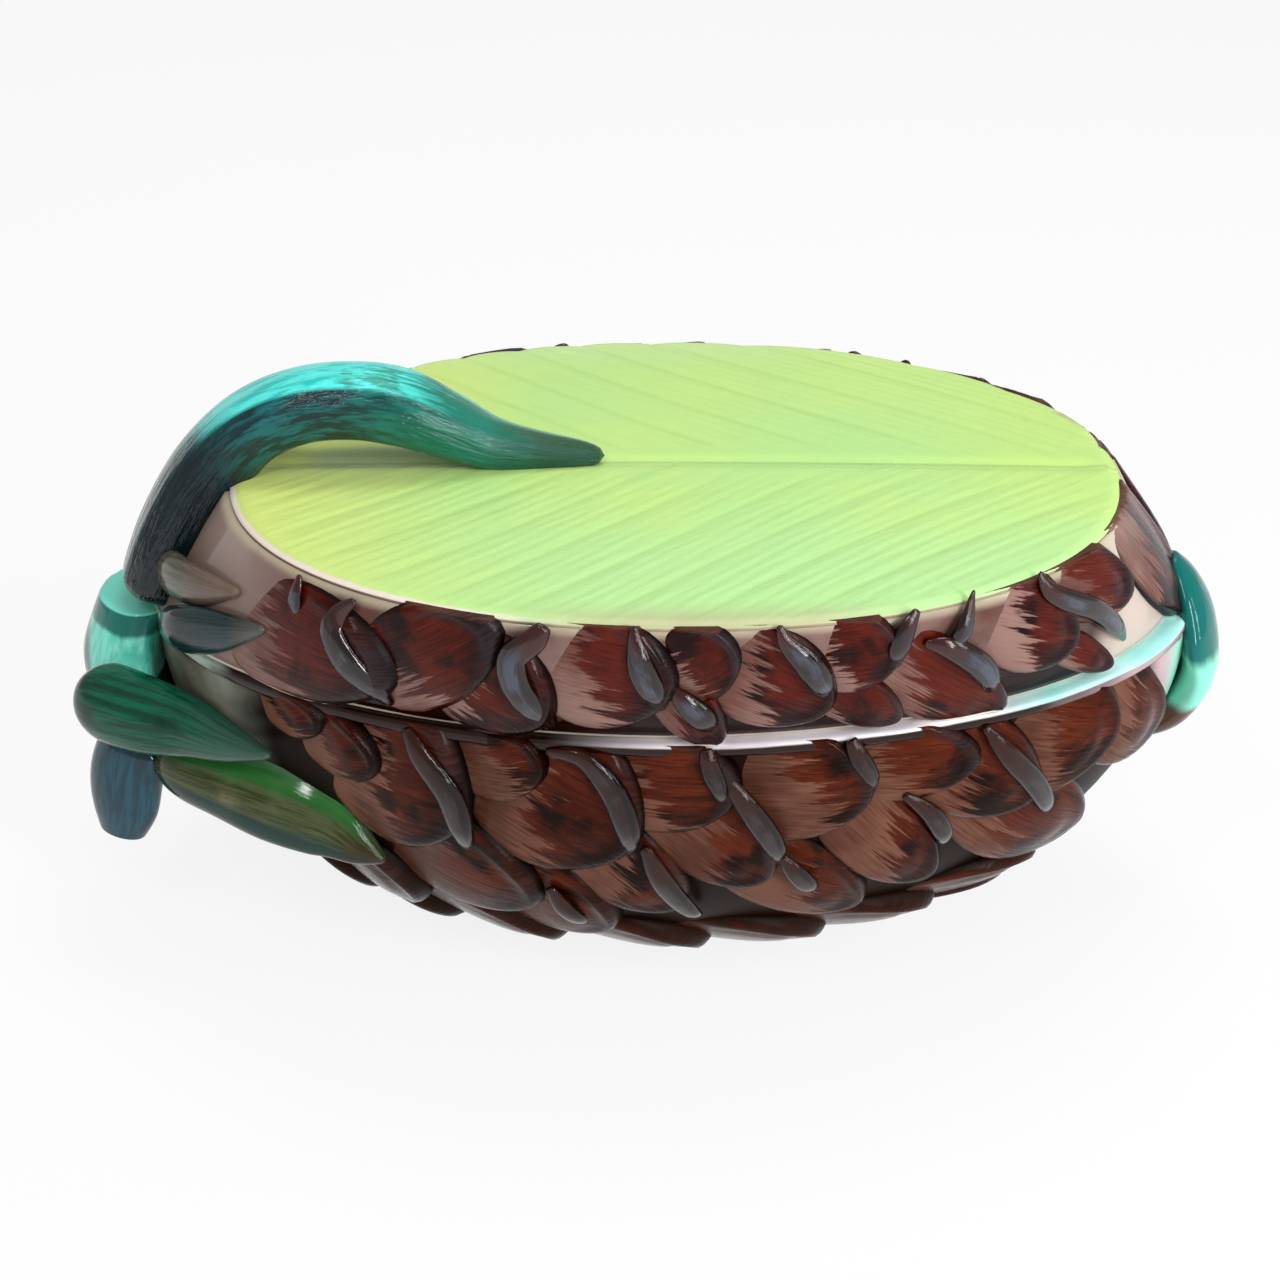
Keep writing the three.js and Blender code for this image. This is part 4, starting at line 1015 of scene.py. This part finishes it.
# Section of the handle, from the crease at the upper front over the back and round below
handleSection = [
    (-0.72, 0.82), (-0.4, 0.94), (0.05, 1.0), (0.5, 0.92), (0.86, 0.6), (1.0, 0.1),
    (0.95, -0.45), (0.66, -0.86), (0.2, -1.08), (-0.3, -1.12), (-0.68, -0.98), (-0.9, -0.6), (-0.99, -0.1),
    (-0.97, 0.4), (-0.78, 0.76),
]
handlePoints = [Vector(spot) for spot in handleSection]
creaseTurn = math.atan2(handleSection[0][1], handleSection[0][0])


def handleOutline(c, s):
    if abs(c) + abs(s) < 1e-6:
        return 0, 0
    turn = (math.atan2(s, c) - creaseTurn) % (2 * math.pi)
    return throughPoints(handlePoints, 1 - turn / (2 * math.pi))


bm = newMesh("along", "across", "tall", "face")
marks = []
for v, t, across, tall in addLeaf(bm, handleStations, handle["sides"], handle["rings"], handleOutline):
    onFront = across < handle["frontAcross"] and tall < handle["creaseTall"] or tall < handle["underTall"]
    marks.append((v, t, across, tall, int(onFront)))
setMarks(bm, marks)
finishPiece(bm, "handle", "lid", handleGlaze(), ["handle_leaf"])
print("handle made")


# Crown and stem leaves

# Shares of the spread: out past the end, across, up from the rim, half width and thickness;
# a station's own side direction follows where it differs from the leaf's
def endLeafStations(side, spread, shares):
    return [station(pastEnd(side, out, across, up), own[0] if own else spread, half * leafSpread,
                    thick * leafSpread) for out, across, up, half, thick, *own in shares]


upperLeaf = endLeafStations(-1, (0.1, 0.3, 1), [
    (0.3, -0.4, -0.34, 0.12, 0.1, (0.1, 0.1, 1)), (0.2, -0.52, -0.37, 0.2, 0.15, (0.1, 0.2, 1)),
    (0, -0.64, -0.38, 0.2, 0.15), (-0.24, -0.74, -0.39, 0.16, 0.11), (-0.47, -0.88, -0.4, 0.1, 0.08),
    (-0.7, -1.04, -0.38, 0.016, 0.024),
])
lowerLeaf = endLeafStations(-1, (0, 0.5, 1), [
    (-0.04, -0.52, -0.7, 0.16, 0.12), (-0.35, -0.72, -0.7, 0.18, 0.12), (-0.65, -0.88, -0.72, 0.21, 0.1),
    (-0.94, -1, -0.78, 0.18, 0.08), (-1.1, -1.07, -0.87, 0.1, 0.06), (-1.23, -1.11, -0.93, 0.016, 0.032),
])
hangingLeaf = endLeafStations(-1, (1, -0.3, 0.2), [
    (0.06, -0.44, -0.6, 0.2, 0.14), (0.14, -0.48, -0.8, 0.2, 0.13),
    (0.17, -0.5, -1, 0.18, 0.11, (1, -0.3, 0.3)), (0.2, -0.5, -1.16, 0.12, 0.08, (1, -0.3, 0.4)),
])
endLeaf = endLeafStations(-1, (0, 1, 0), [
    (-0.04, 0, -0.88, 0.18, 0.14), (0.1, 0, -0.64, 0.34, 0.2), (0.19, 0, -0.4, 0.42, 0.22),
    (0.15, 0, -0.18, 0.38, 0.2), (0.06, 0, 0.04, 0.3, 0.18), (-0.02, 0, 0.2, 0.2, 0.16),
])
stemEndLeaf = endLeafStations(1, (0, -1, -0.1), [
    (-0.2, -0.16, -0.76, 0.06, 0.06), (-0.04, -0.14, -0.56, 0.22, 0.09), (0.05, -0.12, -0.32, 0.32, 0.1),
    (0.02, -0.1, -0.08, 0.32, 0.1), (-0.05, -0.1, 0.1, 0.22, 0.076), (-0.14, -0.1, 0.24, 0.05, 0.036),
])


lidLeafForm = {"halfWidth": 6, "thickness": 4}


def lidAt(degreesRound, rise, lift, half, thick):
    at = onLid(math.radians(degreesRound), rise, lift * lidLeafForm["thickness"])
    return station(at, (0, 0, 1), half * lidLeafForm["halfWidth"], thick * lidLeafForm["thickness"])


lidLowerLeaf = [lidAt(199, 0.05, 0, 0.7, 0.9), lidAt(205, 0.14, 0.4, 1, 1),
                lidAt(212, 0.28, 0.35, 0.9, 0.8), lidAt(220, 0.46, 0.2, 0.13, 0.35)]
lidUpperLeaf = [lidAt(187, 0.3, 0, 0.7, 0.9), lidAt(194, 0.38, 0.4, 1, 1),
                lidAt(203, 0.48, 0.3, 0.85, 0.75), lidAt(212, 0.62, 0.2, 0.13, 0.35)]

darkLeafGlaze = leafGlaze("dark_leaf_glaze", ["#033a2a", "#075f44", "#02281d"], [
    ("z", 0.0775, 0.0815, 0.85, "#3fae8c"), ("along", 0.55, 0.95, 0.75, "#37564a")])
lowerLeafGlaze = leafGlaze("lower_leaf_glaze", ["#4d5636", "#2f3710", "#6b6a48"], [
    ("across", 0.1, 0.45, 0.75, "#1c6e2c"), ("across", 0.62, 0.9, 0.85, "#5d7a62"),
    ("across", -0.3, -0.6, 0.9, "#04302c"), ("along", 0.6, 0.9, 0.75, "#2e1b05")])
hangingGlaze = leafGlaze("hanging_leaf_glaze", ["#003040", "#044a5a", "#001a24"], shine=0.5)
mintGlaze = leafGlaze("mint_glaze", ["#8ffbe6", "#58d8bd", "#aefff0"], [
    ("z", 0.0805, 0.082, 0.9, "#04635a"), ("z", 0.0861, 0.0866, 1.0, "#7feed8"),
    ("z", 0.0695, 0.0675, 1.0, "#0a4a38"), ("x", -0.1465, -0.149, 1.0, "#0a5a44")])
# The pale grey towards the slate leaf's tip is a painted highlight
slateGlaze = leafGlaze("slate_leaf_glaze", ["#16292d", "#223638", "#0d1a1d"], [
    ("along", 0.75, 0.95, 0.5, "#6c6a62")])
oliveGlaze = leafGlaze("olive_leaf_glaze", ["#6b6656", "#4f4c40", "#1d3433"], [
    ("along", 0.5, 0.85, 0.6, "#7c5f52")])
tealGlaze = leafGlaze("stem_leaf_glaze", ["#036a66", "#088478", "#044f4a"], [
    ("across", 0.35, 0.6, 0.9, "#92ecd2"), ("z", 0.075, 0.079, 1.0, "#046a64"),
    ("z", 0.0635, 0.06, 1.0, "#5d4034"), ("z", 0.056, 0.05, 0.9, "#3a2318")])


leaves = []
for side, turned in (("front", list), ("back", mirrored)):
    leaves += [
        (f"leaf_{side}_upper", turned(upperLeaf), "base", "teal_glaze", darkLeafGlaze,
         f"crown_leaf_{side}_upper"),
        (f"leaf_{side}_lower", turned(lowerLeaf), "base", "olive_glaze", lowerLeafGlaze,
         f"crown_leaf_{side}_lower"),
    ]
leaves += [
    ("leaf_end", endLeaf, "base", "mint_glaze", mintGlaze, "crown_leaf_end"),
    ("leaf_hanging", hangingLeaf, "base", "teal_glaze", hangingGlaze, "crown_leaf_hanging"),
    ("leaf_stem", stemEndLeaf, "base", "teal_glaze", tealGlaze, "stem_leaf"),
]
for side, turned in (("front", list), ("back", mirrored)):
    leaves += [
        (f"lid_leaf_{side}_low", turned(lidLowerLeaf), "lid", "slate_glaze", slateGlaze,
         f"lid_leaf_{side}_lower"),
        (f"lid_leaf_{side}_high", turned(lidUpperLeaf), "lid", "olive_glaze", oliveGlaze,
         f"lid_leaf_{side}_upper"),
    ]
# The end leaf is cut level just under the ledge's top, so that it stays out of the lid
leafCeiling = bowl["rimHeight"] - 0.2
for name, stations, body, slotName, glaze, node in leaves:
    bm = newMesh("along", "across")
    spots = [Vector(s["at"]) for s in stations]
    halves = [s["half"] for s in stations]
    marks = []
    laid = addLeaf(bm, stations, leafForm["sides"], leafForm["rings"], root=leafForm["root"])
    for v, t, across, tall in laid:
        if name in leafForm["cupped"]:
            ahead = heading(spots, t)
            side = squareTo(ahead, Vector(stations[0]["spread"]))
            v.co -= ahead.cross(side) * leafForm["cup"] * (across * throughPoints(halves, t)) ** 2
        if name == "leaf_end":
            v.co.z = min(v.co.z, leafCeiling)
        marks.append((v, t, across))
    setMarks(bm, marks)
    finishPiece(bm, name, body, glaze, [node])
print("leaves made")


# Stage: floor, lamps and camera

# A matt tone that camera, glossy and transmission rays see partly as white
def flatTint(name, colour, glow):
    g = Nodes(name)
    g.tree.nodes.clear()
    rays = g.node("ShaderNodeLightPath").outputs
    seen = Wire(g, rays["Is Camera Ray"])
    for ray in ("Is Glossy Ray", "Is Transmission Ray"):
        seen = seen.sum("MAXIMUM", Wire(g, rays[ray]))
    matt = g.add("ShaderNodeBsdfDiffuse", {}, {"Color": colour})
    light = g.add("ShaderNodeEmission", {}, {"Color": (1, 1, 1, 1)})
    blend = g.add("ShaderNodeMixShader", {}, {0: seen * glow, 1: matt, 2: light})
    g.node("ShaderNodeOutputMaterial", {}, {0: blend})
    return g.material


stage = {"floorSize": 12, "floorTone": 0.98, "floorGlow": 0.85, "worldStrength": 0.42}

bm = newMesh()
bmesh.ops.create_grid(bm, x_segments=1, y_segments=1, size=stage["floorSize"])
floorMesh = bpy.data.meshes.new("floor")
bm.to_mesh(floorMesh)
bm.free()
floor = newObject("floor", floorMesh)
floorMesh.materials.append(flatTint("floor_white", (*[stage["floorTone"]] * 3, 1), stage["floorGlow"]))

world = bpy.data.worlds.new("studio")
bpy.context.scene.world = world
world.use_nodes = True
background = world.node_tree.nodes["Background"]
background.inputs["Strength"].default_value = stage["worldStrength"]
background.inputs["Color"].default_value = (1, 1, 1, 1)


# Each lamp's place, the height that it faces, its width and length, its power and its colour
lamps = {
    "overhead": ((0.1, 0.25, 1.25), 0.08, (0.6, 0.4), 3.6, (1, 1, 1)),
    "window_front": ((0.64, -0.86, 0.52), 0.09, (0.13, 0.8), 7.5, (1, 1, 1)),
    "window_right": ((1.1, -0.38, 0.5), 0.09, (0.1, 0.7), 3, (0.85, 0.95, 1)),
    "window_high": ((-0.4, -0.7, 1.05), 0.1, (0.07, 0.3), 1.8, (1, 1, 1)),
}
for name, (place, height, size, power, colour) in lamps.items():
    data = bpy.data.lights.new(name, "AREA")
    data.shape = "RECTANGLE"
    data.size, data.size_y = size
    data.energy = power
    data.color = colour
    lamp = newObject(name, data)
    lamp.location = place
    lamp.rotation_euler = (Vector((0, 0, height)) - Vector(place)).to_track_quat("-Z", "Y").to_euler()

view = {"elevation": 28.5, "yaw": 0.34, "distance": 0.58635, "lens": 64.02}
target = Vector((rimX - 0.0082, 0, 0.0716))
e, yaw = math.radians(view["elevation"]), math.radians(view["yaw"])
back = Vector((math.sin(yaw) * math.cos(e), -math.cos(yaw) * math.cos(e), math.sin(e)))
cameraData = bpy.data.cameras.new("camera")
cameraData.lens = view["lens"]
cameraData.sensor_width = 36
camera = newObject("camera", cameraData)
camera.location = target + back * view["distance"]
camera.rotation_euler = (-back).to_track_quat("-Z", "Y").to_euler()
cameraData.clip_start = 0.01
bpy.context.scene.camera = camera
bpy.context.scene.view_settings.view_transform = "Standard"
print("stage made")
